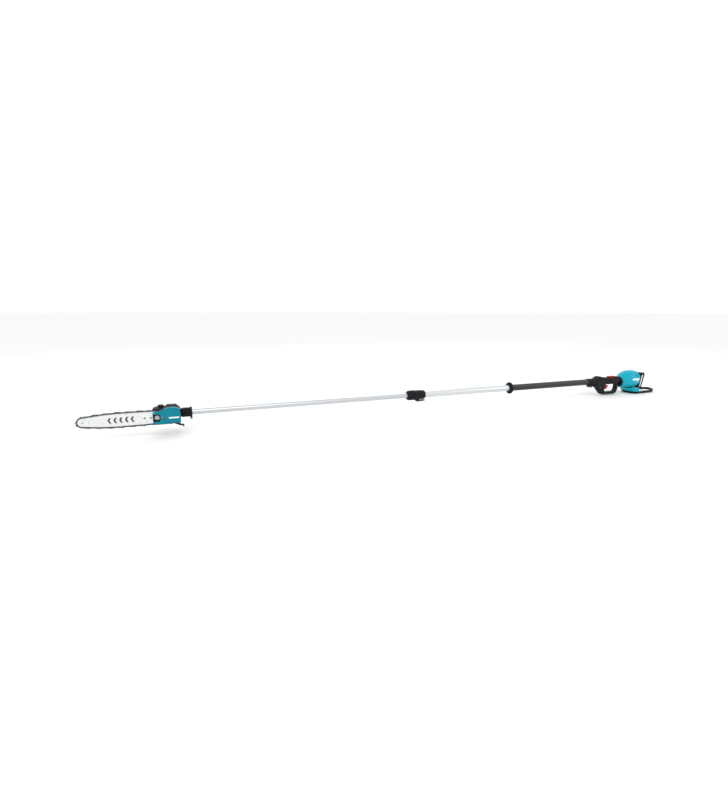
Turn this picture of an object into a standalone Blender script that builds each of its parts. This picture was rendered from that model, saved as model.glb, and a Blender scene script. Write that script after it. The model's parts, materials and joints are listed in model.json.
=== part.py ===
"""Telescoping pole saw: a battery motor unit and D-handle behind, a sliding tube, a chain saw head in front.

The pole lies along X, with the saw head at -X and the motor at +X, and +Z is up. The object's origin is
at the bottom centre of its box. Lengths in this file are millimetres measured from the middle of the
pole's axis. add_part turns them into metres and lifts them to the pole's height over the ground.
"""

import math

import bmesh
import bpy
from mathutils import Matrix, Vector

# ---- driving dimensions, millimetres -------------------------------------------------------------
MM = 0.001
LENGTH = 2950.0                # retracted, bar tip to rear guard
AXIS_HEIGHT = 80.0             # pole axis over the ground
GAP = 0.3                      # between pieces that touch

INNER_TUBE_R = 11.5
INNER_TUBE_BORE = 10.0
OUTER_TUBE_R = 15.5
OUTER_TUBE_BORE = 13.5
SLEEVE_R = 16.3

HEAD_FRONT_X = -1223.0
HEAD_REAR_X = -1122.5
COUPLING_REAR_X = -1081.0
CLAMP_FRONT_X = -143.5
CLAMP_REAR_X = -51.0
HAND_STOP_X = 446.0
HOLDER_X = 972.0
HANDLE_X = 1024.0
HOUSING_X = 1203.0
BASE_REAR_X = 1330.0
MOUNT_X = 1328.0               # battery mount plate
MOUNT_SEAT_X = 1342.0
MOUNT_LIP_X = 1364.0
REAR_X = LENGTH / 2

BAR_Z = -6.0                   # bar centre line under the pole axis
BAR_Y = -24.0                  # plane of bar and chain
BAR_HALF_THICKNESS = 2.0
BAR_TIP_X = -LENGTH / 2 + 8.5
BAR_TAIL_X = -1176.0
BAR_NOSE_R = 15.0
BAR_BELLY = 23.5
CHAIN_GAP = 0.6
CHAIN_DEPTH = 7.9
CHAIN_HALF_WIDTH = 3.0

SPROCKET_X = -1158.0           # drive sprocket and bevel gear turn here
SPROCKET_TEETH = 6
SPROCKET_R = 12.0
NOSE_TEETH = 9
PINION_TEETH = 10
GEAR_TEETH = 14
PINION_R = 8.6
GEAR_R = 12.1
TOOTH_DEPTH = 2.2
BEVEL_TAPER = 0.58             # front ring of a bevel wheel, as a share of its back ring

STUD_X = -1204.7               # bar stud and nut
TENSION_X = -1187.3

SIDES = 24                     # facets round a tube
SMALL_SIDES = 12

# Colour (sRGB, 0 to 1), metallic and roughness of each finish.
FINISHES = {
    "satin_aluminium": ((0.78, 0.79, 0.80), 1.0, 0.35),
    "black_nylon": ((0.11, 0.12, 0.13), 0.0, 0.55),
    "black_rubber": ((0.08, 0.08, 0.09), 0.0, 0.8),
    "teal_nylon": ((0.03, 0.62, 0.68), 0.0, 0.4),
    "red_nylon": ((0.62, 0.10, 0.12), 0.0, 0.4),
    "brown_nylon": ((0.22, 0.15, 0.12), 0.0, 0.5),
    "white_acetal": ((0.85, 0.85, 0.82), 0.0, 0.45),
    "bar_steel": ((0.80, 0.81, 0.82), 1.0, 0.3),
    "chain_steel": ((0.30, 0.31, 0.33), 1.0, 0.4),
    "zinc_steel": ((0.65, 0.66, 0.68), 1.0, 0.35),
    "copper": ((0.72, 0.42, 0.25), 1.0, 0.4),
}


def clear_scene():
    for obj in list(bpy.data.objects):
        bpy.data.objects.remove(obj, do_unlink=True)


def finish_material(name):
    """One Principled material for each finish, shared by the parts that have it."""
    material = bpy.data.materials.get(name)
    if material is None:
        colour, metallic, roughness = FINISHES[name]
        material = bpy.data.materials.new(name)
        material.use_nodes = True
        shader = material.node_tree.nodes["Principled BSDF"]
        shader.inputs["Base Color"].default_value = (*[c ** 2.2 for c in colour], 1.0)
        shader.inputs["Metallic"].default_value = metallic
        shader.inputs["Roughness"].default_value = roughness
    return material


def add_part(name, shape, finish, pivot=(0.0, 0.0, 0.0)):
    """Turn a shape in millimetres into a named object whose origin is its pivot."""
    bmesh.ops.recalc_face_normals(shape, faces=shape.faces[:])
    shape.transform(Matrix.Translation(-Vector(pivot)))
    shape.transform(Matrix.Scale(MM, 4))
    mesh = bpy.data.meshes.new(name)
    shape.to_mesh(mesh)
    shape.free()
    mesh.shade_smooth()
    mesh.set_sharp_from_angle(angle=math.radians(32))
    mesh.materials.append(finish_material(finish))
    obj = bpy.data.objects.new(name, mesh)
    bpy.context.collection.objects.link(obj)
    obj.location = (Vector(pivot) + Vector((0.0, 0.0, AXIS_HEIGHT))) * MM
    return obj


# ---- shapes ---------------------------------------------------------------------------------------
def place(along, radius, angle, axis, centre):
    """A point at a radius and angle round an axis that runs along X, Y or Z through centre."""
    a = radius * math.cos(angle)
    b = radius * math.sin(angle)
    offset = {"X": (along, a, b), "Y": (b, along, a), "Z": (a, b, along)}[axis]
    return Vector(centre) + Vector(offset)


def turned(profile, axis="X", centre=(0.0, 0.0, 0.0), sides=SIDES):
    """Revolve (along, radius) points. A profile that starts and ends on the axis is solid."""
    shape = bmesh.new()
    rings = []
    for along, radius in profile:
        count = sides if radius > 0 else 1
        rings.append([shape.verts.new(place(along, radius, 2 * math.pi * i / sides, axis, centre))
                      for i in range(count)])
    pairs = list(zip(rings, rings[1:]))
    if profile[0][1] > 0:
        pairs.append((rings[-1], rings[0]))
    for ring, following in pairs:
        for i in range(sides):
            j = (i + 1) % sides
            if len(ring) == 1:
                shape.faces.new((ring[0], following[i], following[j]))
            elif len(following) == 1:
                shape.faces.new((ring[i], following[0], ring[j]))
            else:
                shape.faces.new((ring[i], following[i], following[j], ring[j]))
    bmesh.ops.recalc_face_normals(shape, faces=shape.faces[:])
    return shape


def rod(start, end, radius, axis="X", centre=(0.0, 0.0, 0.0), sides=SMALL_SIDES):
    """A solid round bar."""
    return turned([(start, 0.0), (start, radius), (end, radius), (end, 0.0)], axis, centre, sides)


def pipe(start, end, bore, radius, axis="X", centre=(0.0, 0.0, 0.0), sides=SIDES):
    """A round tube, open at both ends."""
    return turned([(start, bore), (start, radius), (end, radius), (end, bore)], axis, centre, sides)


def prism(outline, start, end, axis="Y"):
    """Extrude a 2-D outline. Along Y it is (x, z), along X it is (y, z), along Z it is (x, y)."""
    def point(u, v, w):
        return {"Y": (u, w, v), "X": (w, u, v), "Z": (u, v, w)}[axis]
    shape = bmesh.new()
    near = [shape.verts.new(point(u, v, start)) for u, v in outline]
    far = [shape.verts.new(point(u, v, end)) for u, v in outline]
    shape.faces.new(near)
    shape.faces.new(far)
    for i in range(len(outline)):
        j = (i + 1) % len(outline)
        shape.faces.new((near[i], near[j], far[j], far[i]))
    bmesh.ops.recalc_face_normals(shape, faces=shape.faces[:])
    return shape


def skin(shape, rings):
    """Join each closed ring of vertices to the next."""
    count = len(rings[0])
    for ring, following in zip(rings, rings[1:]):
        for i in range(count):
            j = (i + 1) % count
            shape.faces.new((ring[i], ring[j], following[j], following[i]))
    bmesh.ops.recalc_face_normals(shape, faces=shape.faces[:])


def block(low, high):
    """A box between two corners."""
    outline = [(low[0], low[2]), (high[0], low[2]), (high[0], high[2]), (low[0], high[2])]
    return prism(outline, low[1], high[1])


def rounded(shape, width, angle=40.0, segments=1):
    """Bevel the edges that turn by more than the angle."""
    edges = [e for e in shape.edges if e.is_manifold and e.calc_face_angle(0) > math.radians(angle)]
    bmesh.ops.bevel(shape, geom=edges, offset=width, segments=segments, affect="EDGES", clamp_overlap=True)
    return shape


def rounded_outline(corners, radius, steps=3):
    """Round every corner of a 2-D outline with an arc-like curve of the given reach."""
    points = []
    count = len(corners)
    for i in range(count):
        corner = Vector(corners[i])
        before = Vector(corners[i - 1]) - corner
        after = Vector(corners[(i + 1) % count]) - corner
        reach = min(radius, before.length * 0.45, after.length * 0.45)
        start = corner + before.normalized() * reach
        end = corner + after.normalized() * reach
        for step in range(steps + 1):
            t = step / steps
            points.append(tuple(start * (1 - t) ** 2 + corner * 2 * t * (1 - t) + end * t ** 2))
    return points


def combined(base, tool, operation):
    """Boolean of two shapes. Both are used up."""
    objects = []
    for label, shape in (("base", base), ("tool", tool)):
        mesh = bpy.data.meshes.new(label)
        shape.to_mesh(mesh)
        shape.free()
        obj = bpy.data.objects.new(label, mesh)
        bpy.context.collection.objects.link(obj)
        objects.append(obj)
    modifier = objects[0].modifiers.new("cut", "BOOLEAN")
    modifier.operation = operation
    modifier.solver = "EXACT"
    modifier.object = objects[1]
    evaluated = objects[0].evaluated_get(bpy.context.evaluated_depsgraph_get())
    result = bmesh.new()
    result.from_mesh(evaluated.to_mesh())
    for obj in objects:
        bpy.data.objects.remove(obj, do_unlink=True)
    bmesh.ops.dissolve_degenerate(result, dist=0.0005, edges=result.edges[:])
    return result


def cut(base, *tools):
    """The base without the tools."""
    for tool in tools:
        base = combined(base, tool, "DIFFERENCE")
    return base


def joined(base, *tools):
    """The base and the tools as one body."""
    for tool in tools:
        base = combined(base, tool, "UNION")
    return base


def circle_outline(cx, cz, radius, sides=SMALL_SIDES):
    """A circle about (cx, cz)."""
    angles = [2 * math.pi * i / sides for i in range(sides)]
    return [(cx + radius * math.cos(angle), cz + radius * math.sin(angle)) for angle in angles]


def toothed_outline(teeth, root, tip, cx=0.0, cz=0.0):
    """A wheel outline with four points a tooth: root, root, tip, tip."""
    points = []
    for tooth in range(teeth):
        for part, radius in ((-0.36, root), (-0.14, tip), (0.14, tip), (0.36, root)):
            angle = 2 * math.pi * (tooth + part) / teeth
            points.append((cx + radius * math.cos(angle), cz + radius * math.sin(angle)))
    return points


def convex_hull(points):
    """Monotone chain hull, counter-clockwise."""
    points = sorted(set((round(x, 4), round(z, 4)) for x, z in points))

    def half(sequence):
        out = []
        for p in sequence:
            while len(out) > 1 and ((out[-1][0] - out[-2][0]) * (p[1] - out[-2][1])
                                    - (out[-1][1] - out[-2][1]) * (p[0] - out[-2][0])) <= 1e-9:
                out.pop()
            out.append(p)
        return out[:-1]
    return half(points) + half(reversed(points))


# ---- guide bar and chain --------------------------------------------------------------------------
def bar_half_height(x):
    """Half the bar's height: a round nose that swells to the belly and narrows a little at the tail."""
    s = x - BAR_TIP_X
    if s < BAR_NOSE_R * 0.75:
        return math.sqrt(max(0.0, BAR_NOSE_R ** 2 - (BAR_NOSE_R - s) ** 2))
    start = math.sqrt(BAR_NOSE_R ** 2 - (BAR_NOSE_R * 0.25) ** 2)
    swell = min(1.0, (s - BAR_NOSE_R * 0.75) / 125.0)
    tail = max(0.0, (s - 150.0) / 150.0)
    return start + (BAR_BELLY - start) * math.sin(swell * math.pi / 2) - 2.2 * tail ** 2


def bar_stations():
    """Places along the bar, close together round the nose."""
    nose = [BAR_TIP_X + BAR_NOSE_R * 0.75 * (1 - math.cos(math.pi / 2 * i / 5)) for i in range(6)]
    rest = [BAR_TIP_X + BAR_NOSE_R * 0.75 + 22.0 * i for i in range(1, 13)]
    return nose + rest + [BAR_TAIL_X]


def bar_outline(grow=0.0):
    """The bar's edge, moved outwards by grow along its normal."""
    upper = [(x, bar_half_height(x)) for x in bar_stations()]
    loop = [(x, h) for x, h in reversed(upper)] + [(x, -h) for x, h in upper[1:]]
    points = []
    for i, (x, z) in enumerate(loop):
        ahead = loop[(i + 1) % len(loop)]
        behind = loop[i - 1]
        if i == 0 or i == len(loop) - 1:
            normal = Vector((0.0, math.copysign(1.0, z)))
        else:
            normal = Vector((-(ahead[1] - behind[1]), ahead[0] - behind[0])).normalized() * -1
        points.append((x + normal.x * grow, BAR_Z + z + normal.y * grow))
    return points


def chain_outline(grow):
    """The run round bar and drive sprocket, grown outwards."""
    around = circle_outline(SPROCKET_X, 0.0, SPROCKET_R + 0.5 + grow, 24)
    return convex_hull(bar_outline(grow) + around)


def make_guide_bar():
    """Laminated bar: two cheeks and a core that leaves the chain groove and the nose pocket."""
    outer = bar_outline()
    pocket_x = BAR_TIP_X + 2 * BAR_NOSE_R
    core = []
    for x, z in bar_outline(-5.0):
        core.append((max(x, pocket_x + 0.02 * abs(z)), z))
    core[0] = (core[0][0] - 1.0, core[0][1])
    core[-1] = (core[-1][0] - 1.0, core[-1][1])
    layers = [(outer, -BAR_HALF_THICKNESS), (outer, -0.8), (core, -0.8), (core, 0.8), (outer, 0.8),
              (outer, BAR_HALF_THICKNESS)]
    shape = bmesh.new()
    rings = [[shape.verts.new((x, BAR_Y + y, z)) for x, z in loop] for loop, y in layers]
    shape.faces.new(rings[0])
    shape.faces.new(rings[-1])
    skin(shape, rings)
    slot = rounded_outline([(-1222.0, BAR_Z - 4.4), (-1184.0, BAR_Z - 4.4), (-1184.0, BAR_Z + 4.4),
                            (-1222.0, BAR_Z + 4.4)], 4.4)
    nose_centre = (BAR_TIP_X + BAR_NOSE_R, BAR_Y, BAR_Z)
    tools = [prism(slot, BAR_Y - 6, BAR_Y + 6),
             rod(-6, 6, 3.3, "Y", nose_centre),
             rod(-6, 6, 2.4, "Y", (-1228.0, BAR_Y, BAR_Z)),
             rod(-6, 6, 2.4, "Y", (-1249.0, BAR_Y, BAR_Z))]
    add_part("guide_bar", cut(shape, *tools), "bar_steel")
    add_part("nose_rivet", rod(-2.3, 2.3, 3.0, "Y", nose_centre), "zinc_steel")
    teeth = toothed_outline(NOSE_TEETH, 8.6, 12.6, nose_centre[0], nose_centre[2])
    star = prism(teeth, BAR_Y - 0.5, BAR_Y + 0.5)
    star = cut(star, rod(-3, 3, 3.4, "Y", nose_centre))
    add_part("nose_sprocket", star, "chain_steel", nose_centre)


def make_chain():
    """The closed run of the saw chain, as a belt in the bar's groove plane."""
    inner = chain_outline(CHAIN_GAP)
    outer = chain_outline(CHAIN_GAP + CHAIN_DEPTH)
    belt = prism(outer, BAR_Y - CHAIN_HALF_WIDTH, BAR_Y + CHAIN_HALF_WIDTH)
    add_part("saw_chain", cut(belt, prism(inner, BAR_Y - 9, BAR_Y + 9)), "chain_steel")


# ---- saw head -------------------------------------------------------------------------------------
def head_outline():
    """Side view of the gear case and its oil tank hump."""
    corners = [(HEAD_FRONT_X, -30.0), (HEAD_FRONT_X, 21.0), (-1214.0, 26.8), (-1180.0, 27.2),
               (-1172.0, 31.5), (-1140.0, 31.5), (-1126.0, 22.0), (HEAD_REAR_X, 14.0),
               (HEAD_REAR_X, -20.0), (-1132.0, -31.0), (-1160.0, -36.0)]
    return rounded_outline(corners, 5.0, 2)


def make_gear_case():
    """Case behind the chain: it holds the bevel gears, the oil pump and the bar stud."""
    centre = (SPROCKET_X, 0.0, 0.0)
    case = prism(head_outline(), -28.0, 26.0)
    chain_room = prism(chain_outline(CHAIN_GAP + CHAIN_DEPTH + 1.6), -29.0, -17.5)
    tools = [chain_room,
             rod(-30.0, 9.7, 15.6, "Y", centre, 24),
             rod(9.0, 17.6, 4.5, "Y", centre, 24),
             rod(-1150.0, -1121.0, 11.4, "X", (0.0, 0.0, 0.0), 24),
             block((-1197.0, -18.0, -13.0), (-1177.0, 6.0, 13.0)),
             rod(-30.0, -5.0, 3.4, "Y", (STUD_X, 0.0, BAR_Z)),
             block((-1217.0, -14.0, 19.0), (-1130.0, 22.0, 40.0))]
    add_part("gear_case", cut(case, *tools), "black_nylon")
    tank = prism(rounded_outline([(-1216.5, 19.4), (-1130.5, 19.4), (-1130.5, 27.0), (-1140.0, 34.5),
                                  (-1171.0, 35.0), (-1178.0, 27.0), (-1216.5, 26.5)], 4.0, 2), -13.6, 21.6)
    tank = cut(tank, block((-1212.0, -10.5, 21.5), (-1182.0, 18.5, 24.0)),
               rod(20.0, 40.0, 6.4, "Z", (-1192.5, 4.0, 0.0)))
    add_part("oil_tank", tank, "black_nylon")
    cap_place = (-1192.5, 4.0, 0.0)
    cap = prism(toothed_outline(12, 10.2, 11.2, cap_place[0], cap_place[1]), 27.4, 35.3, "Z")
    cap = joined(cap, rod(23.0, 30.0, 5.9, "Z", cap_place))
    add_part("oil_cap", cap, "brown_nylon", (cap_place[0], cap_place[1], 27.4))
    add_part("oil_pump", rounded(block((-1196.5, -15.0, -12.5), (-1177.5, 5.5, 12.5)), 2.0), "white_acetal")


def bevel_wheel(teeth, tip, back, front, axis):
    """A toothed ring at back that shrinks towards the meeting point of the two axes."""
    rings = []
    shape = bmesh.new()
    for along, scale in ((back, 1.0), (front, BEVEL_TAPER)):
        outline = toothed_outline(teeth, (tip - TOOTH_DEPTH) * scale, tip * scale)
        ring = []
        for u, v in outline:
            offset = (along, u, v) if axis == "X" else (u, along, v)
            ring.append(shape.verts.new((SPROCKET_X + offset[0], offset[1], offset[2])))
        rings.append(ring)
    shape.faces.new(rings[0])
    shape.faces.new(rings[1])
    skin(shape, rings)
    return shape


def make_gears():
    """Bevel gears that turn the shaft's spin into the sprocket's, and their bearings."""
    centre = (SPROCKET_X, 0.0, 0.0)
    pinion = bevel_wheel(PINION_TEETH, PINION_R, 12.6, 7.6, "X")
    pinion = joined(pinion, rod(SPROCKET_X + 10.0, -1120.0, 4.2))
    add_part("bevel_pinion", pinion, "chain_steel", (SPROCKET_X + 12.6, 0.0, 0.0))
    add_part("pinion_bearing", pipe(-1134.0, -1126.0, 4.6, 11.1), "zinc_steel")
    gear = bevel_wheel(GEAR_TEETH, GEAR_R, -9.0, -5.0, "Y")
    gear = joined(gear, rod(-30.0, 16.0, 4.1, "Y", centre))
    add_part("bevel_gear_shaft", gear, "chain_steel", centre)
    teeth = toothed_outline(SPROCKET_TEETH, 8.0, SPROCKET_R, SPROCKET_X, 0.0)
    sprocket = prism(teeth, BAR_Y - 3, BAR_Y + 3)
    sprocket = cut(sprocket, rod(-40.0, 0.0, 4.4, "Y", centre))
    add_part("drive_sprocket", sprocket, "chain_steel", (SPROCKET_X, BAR_Y, 0.0))
    add_part("shaft_bearing", pipe(-17.0, -11.0, 4.5, 15.3, "Y", centre), "zinc_steel")


def cover_outline():
    """Side view of the lid: low in front round the nut, high behind over the sprocket."""
    corners = [(-1220.0, -28.0), (-1220.0, 13.5), (-1197.0, 18.0), (-1174.0, 30.0), (-1146.0, 32.0),
               (-1126.0, 25.0), (-1122.8, 8.0), (-1122.8, -30.0), (-1128.0, -33.0), (-1148.0, -27.5),
               (-1168.0, -32.5), (-1206.0, -32.5)]
    return rounded_outline(corners, 4.5, 2)


def make_cover():
    """Dished lid over the sprocket, with an open recess for the bar nut."""
    cover = rounded(prism(cover_outline(), -44.0, -28.3), 1.6, 60.0, 2)
    hollow = [(-1176.0, -28.0), (-1176.0, 21.0), (-1170.0, 26.0), (-1145.0, 27.5), (-1129.0, 21.0),
              (-1127.0, 6.0), (-1127.0, -26.0), (-1148.0, -22.5), (-1164.0, -28.0)]
    tools = [prism(hollow, -40.5, -27.0),
             block((-1230.0, -50.0, -19.5), (-1194.0, -35.0, 8.5)),
             rod(-50.0, -20.0, 4.0, "Y", (STUD_X, 0.0, BAR_Z)),
             rod(-50.0, -20.0, 3.5, "Y", (TENSION_X, 0.0, BAR_Z))]
    pad = block((-1216.0, -30.0, -15.0), (-1180.0, BAR_Y - BAR_HALF_THICKNESS - GAP, 3.0))
    cover = cut(joined(cover, pad), *tools)
    add_part("sprocket_cover", cover, "teal_nylon")
    add_part("bar_stud", rod(-41.5, -6.0, 3.0, "Y", (STUD_X, 0.0, BAR_Z)), "zinc_steel")
    nut = prism(circle_outline(STUD_X, BAR_Z, 9.2, 6), -40.0, -35.3)
    add_part("bar_nut", cut(nut, rod(-50.0, -20.0, 3.4, "Y", (STUD_X, 0.0, BAR_Z))), "zinc_steel")
    tension = rod(-42.0, -26.8, 3.1, "Y", (TENSION_X, 0.0, BAR_Z))
    slot = block((TENSION_X - 0.5, -50.0, BAR_Z - 2.4), (TENSION_X + 0.5, -40.5, BAR_Z + 2.4))
    tension = cut(tension, slot)
    add_part("tension_screw", tension, "zinc_steel", (TENSION_X, -27.0, BAR_Z))


def make_hook():
    """Small branch hook under the rear of the gear case."""
    outline = [(-1152.0, -36.3), (-1134.0, -33.0), (-1126.0, -42.0), (-1117.0, -43.0), (-1112.5, -48.0),
               (-1113.5, -54.0), (-1117.5, -53.0), (-1118.5, -48.5), (-1128.0, -48.0), (-1140.0, -42.0)]
    hook = prism(outline, -13.0, -6.0)
    add_part("branch_hook", rounded(hook, 0.8, 20.0), "black_nylon")


def make_coupling():
    """Ribbed pipe clamp between gear case and inner tube."""
    profile = [(HEAD_REAR_X + GAP, 11.8), (HEAD_REAR_X + GAP, 15.0), (-1119.0, 17.5)]
    for rib in range(3):
        x = -1117.0 + 9.0 * rib
        profile += [(x, 17.5), (x + 1.5, 19.6), (x + 4.5, 19.6), (x + 6.0, 17.5)]
    profile += [(-1090.0, 17.5), (-1089.0, 21.0), (-1082.0, 21.0), (COUPLING_REAR_X, 20.0),
                (COUPLING_REAR_X, 11.8)]
    ear = rounded(block((-1089.5, -9.0, -28.5), (-1081.5, 9.0, -15.0)), 1.5, 60.0)
    body = joined(turned(profile, sides=20), ear)
    bolt_place = (-1085.5, 0.0, -24.0)
    body = cut(body, rod(-20.0, 20.0, 2.4, "Y", bolt_place))
    add_part("head_coupling", body, "black_nylon")
    bolt = joined(rod(-11.0, 9.5, 2.0, "Y", bolt_place), rod(-13.0, -9.4, 3.4, "Y", bolt_place, 6))
    add_part("coupling_bolt", bolt, "zinc_steel")


# ---- pole -----------------------------------------------------------------------------------------
def make_pole():
    """Two tubes that slide in each other, the sleeve and stop for the hand, and the drive shafts."""
    bush = pipe(1150.0, 1186.0, INNER_TUBE_R + GAP, OUTER_TUBE_BORE - GAP)
    sleeve = pipe(HAND_STOP_X + 8.5, HOLDER_X - GAP, OUTER_TUBE_R + GAP, SLEEVE_R)
    add_part("inner_tube", pipe(-1119.5, 1190.0, INNER_TUBE_BORE, INNER_TUBE_R), "satin_aluminium")
    add_part("inner_glide_bush", bush, "white_acetal")
    add_part("outer_tube", pipe(-66.0, 1212.0, OUTER_TUBE_BORE, OUTER_TUBE_R), "satin_aluminium")
    add_part("grip_sleeve", sleeve, "black_nylon")
    stop = [(-6.0, 15.8), (-6.0, 27.0), (-4.5, 29.3), (-1.0, 30.0), (3.0, 29.3), (5.0, 26.5),
            (5.5, 20.0), (8.0, 18.5), (8.0, 15.8)]
    add_part("hand_stop", turned([(HAND_STOP_X + a, r) for a, r in stop]), "black_nylon")
    add_part("front_shaft", rod(-1119.5, 1195.0, 4.0, sides=6), "zinc_steel")
    add_part("rear_shaft", pipe(-20.0, 1226.0, 4.4, 6.2), "zinc_steel")
    add_part("shaft_bushing", pipe(-600.0, -570.0, 4.4, INNER_TUBE_BORE - GAP), "white_acetal")


def make_clamp():
    """Lever clamp that locks the inner tube."""
    rear_bore = OUTER_TUBE_R + GAP
    profile = [(CLAMP_FRONT_X, 11.8), (CLAMP_FRONT_X, 17.5), (-136.0, 22.6), (-102.0, 23.2), (-99.0, 20.6),
               (-95.0, 20.6), (-93.0, 22.2), (-57.0, 21.0), (CLAMP_REAR_X, 18.4), (CLAMP_REAR_X, rear_bore),
               (-66.4, rear_bore), (-66.4, 11.8)]
    body = turned(profile, sides=24)
    lever_place = (-88.0, 0.0, -27.0)
    for low, high in ((-12.0, -8.4), (8.4, 12.0)):
        ear = rounded_outline([(-95.0, -16.0), (-81.0, -16.0), (-83.0, -31.5), (-93.0, -31.5)], 4.0, 2)
        body = joined(body, prism(ear, low, high))
    body = cut(body, rod(-20.0, 20.0, 2.3, "Y", lever_place))
    add_part("clamp_body", body, "black_nylon")
    add_part("clamp_lever_pin", rod(-12.6, 12.6, 2.0, "Y", lever_place), "zinc_steel")
    outline = rounded_outline([(-92.0, -31.0), (-92.0, -23.6), (-84.0, -23.6), (-78.0, -25.2), (-48.0, -24.2),
                               (-46.0, -27.2), (-60.0, -29.6)], 2.2, 2)
    lever = cut(prism(outline, -8.0, 8.0), rod(-20.0, 20.0, 2.3, "Y", lever_place))
    add_part("clamp_lever", lever, "black_nylon", lever_place)


# ---- D-handle -------------------------------------------------------------------------------------
TRIGGER_PIVOT = (1098.0, 0.0, -24.5)
LOCK_PIVOT = (1176.0, 0.0, 20.0)
GRIP_HALF_WIDTH = 17.5
LOOP_HALF_WIDTH = 12.0
HANDLE_SCREWS = ((1060.0, -33.0, GRIP_HALF_WIDTH), (1195.5, -32.0, LOOP_HALF_WIDTH))


def grip_outline():
    """Side view of the thick upper body, from the front flange to the neck."""
    corners = [(HANDLE_X, 17.8), (1044.0, 29.0), (1058.0, 30.0), (1066.0, 19.0), (1104.0, 19.0),
               (1112.0, 17.8), (1164.0, 17.8), (1169.0, 22.4), (1188.0, 22.4), (1202.0, 19.5),
               (1202.0, -19.0), (1100.0, -19.0), (1092.0, -44.0), (1052.0, -44.0), (1040.0, -32.0),
               (HANDLE_X, -20.0)]
    return rounded_outline(corners, 5.0, 2)


def loop_outline():
    """Side view of the thin hand guard under the grip."""
    corners = [(1030.0, -10.0), (1203.5, -10.0), (1203.5, -30.0), (1201.0, -50.0), (1192.0, -70.0),
               (1183.0, -76.0), (1090.0, -76.0), (1074.0, -71.0), (1053.0, -50.0), (1030.0, -24.0)]
    return rounded_outline(corners, 6.0, 2)


def hand_hole_outline():
    """Side view of the opening that the fingers reach through."""
    corners = [(1094.0, -19.5), (1189.0, -19.5), (1187.0, -46.0), (1180.0, -62.5), (1098.0, -62.5)]
    return rounded_outline(corners, 8.0, 3)


def softened_plate(outline, inner, outer, width):
    """A plate whose outer face has bevelled edges."""
    plate = prism(outline, min(inner, outer), max(inner, outer))
    edges = [e for e in plate.edges if all(abs(v.co.y - outer) < 1e-4 for v in e.verts)]
    bmesh.ops.bevel(plate, geom=edges, offset=width, segments=2, affect="EDGES", clamp_overlap=True)
    return plate


def make_handle():
    """Two shells split at the middle plane, clamped round the outer tube."""
    for name, side in (("handle_left_half", -1), ("handle_right_half", 1)):
        grip = softened_plate(grip_outline(), -side * 1.0, side * GRIP_HALF_WIDTH, 2.5)
        loop = softened_plate(loop_outline(), -side * 2.0, side * LOOP_HALF_WIDTH, 2.5)
        low, high = sorted((side * GAP / 2, -side * 10.0))
        tools = [block((1000.0, low, -90.0), (1220.0, high, 50.0)),
                 prism(hand_hole_outline(), -30.0, 30.0),
                 rod(1000.0, 1230.0, OUTER_TUBE_R + GAP, sides=SIDES),
                 block((1087.0, -8.0, -37.0), (1140.0, 8.0, -17.0)),
                 block((1122.0, -9.0, 10.0), (1184.0, 9.0, 40.0)),
                 block((1062.0, -9.5, -46.0), (1084.5, 9.5, -20.0)),
                 block((1080.0, -4.0, -34.0), (1090.0, 4.0, -26.0)),
                 rod(-12.5, 12.5, 2.3, "Y", TRIGGER_PIVOT),
                 rod(-12.5, 12.5, 1.8, "Y", LOCK_PIVOT)]
        for x, z, half in HANDLE_SCREWS:
            tools.append(rod(-30.0, 30.0, 2.2, "Y", (x, 0.0, z)))
            tools.append(rod(half - 3.0, 30.0, 4.0, "Y", (x, 0.0, z)))
        add_part(name, cut(joined(grip, loop), *tools), "black_nylon")
    for number, (x, z, half) in enumerate(HANDLE_SCREWS, 1):
        at = (x, 0.0, z)
        shank = rod(3.5 - half, half - 2.0, 1.9, "Y", at)
        head = rod(half - 2.7, half - 0.3, 3.6, "Y", at)
        add_part(f"handle_screw_{number}", joined(shank, head), "zinc_steel")


def make_controls():
    """Trigger, lock-off lever and power button, with the pins they turn on."""
    add_part("trigger_pin", rod(-12.2, 12.2, 2.0, "Y", TRIGGER_PIVOT), "zinc_steel")
    outline = rounded_outline([(1092.5, -30.0), (1092.5, -19.4), (1103.0, -19.4), (1131.0, -28.0),
                               (1133.0, -33.0), (1123.0, -37.0), (1116.0, -47.5), (1109.0, -47.5),
                               (1102.5, -34.0)], 3.5, 2)
    trigger = cut(prism(outline, -7.0, 7.0), rod(-20.0, 20.0, 2.3, "Y", TRIGGER_PIVOT))
    add_part("trigger", trigger, "red_nylon", TRIGGER_PIVOT)
    switch = rounded(block((1062.5, -9.0, -45.5), (1084.0, 9.0, -20.5)), 1.0, 60.0)
    add_part("trigger_switch", switch, "black_nylon")
    add_part("lock_off_pin", rod(-12.2, 12.2, 1.5, "Y", LOCK_PIVOT), "zinc_steel")
    outline = rounded_outline([(1181.5, 17.0), (1182.0, 23.5), (1168.0, 25.5), (1130.0, 25.5), (1125.0, 22.0),
                               (1130.0, 19.2), (1168.0, 17.6)], 2.0, 2)
    lever = cut(prism(outline, -8.5, 8.5), rod(-20.0, 20.0, 1.8, "Y", LOCK_PIVOT))
    add_part("lock_off_lever", lever, "red_nylon", LOCK_PIVOT)
    button_place = (1084.0, 0.0, 0.0)
    panel = rounded(block((1068.5, -13.0, 19.4), (1101.0, 13.0, 21.4)), 1.0, 60.0)
    panel = cut(panel, rod(10.0, 30.0, 5.4, "Z", button_place))
    add_part("control_panel", panel, "black_rubber")
    button = rod(20.4, 22.6, 5.0, "Z", button_place)
    add_part("power_button", button, "black_rubber", (1084.0, 0.0, 20.4))


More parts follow.
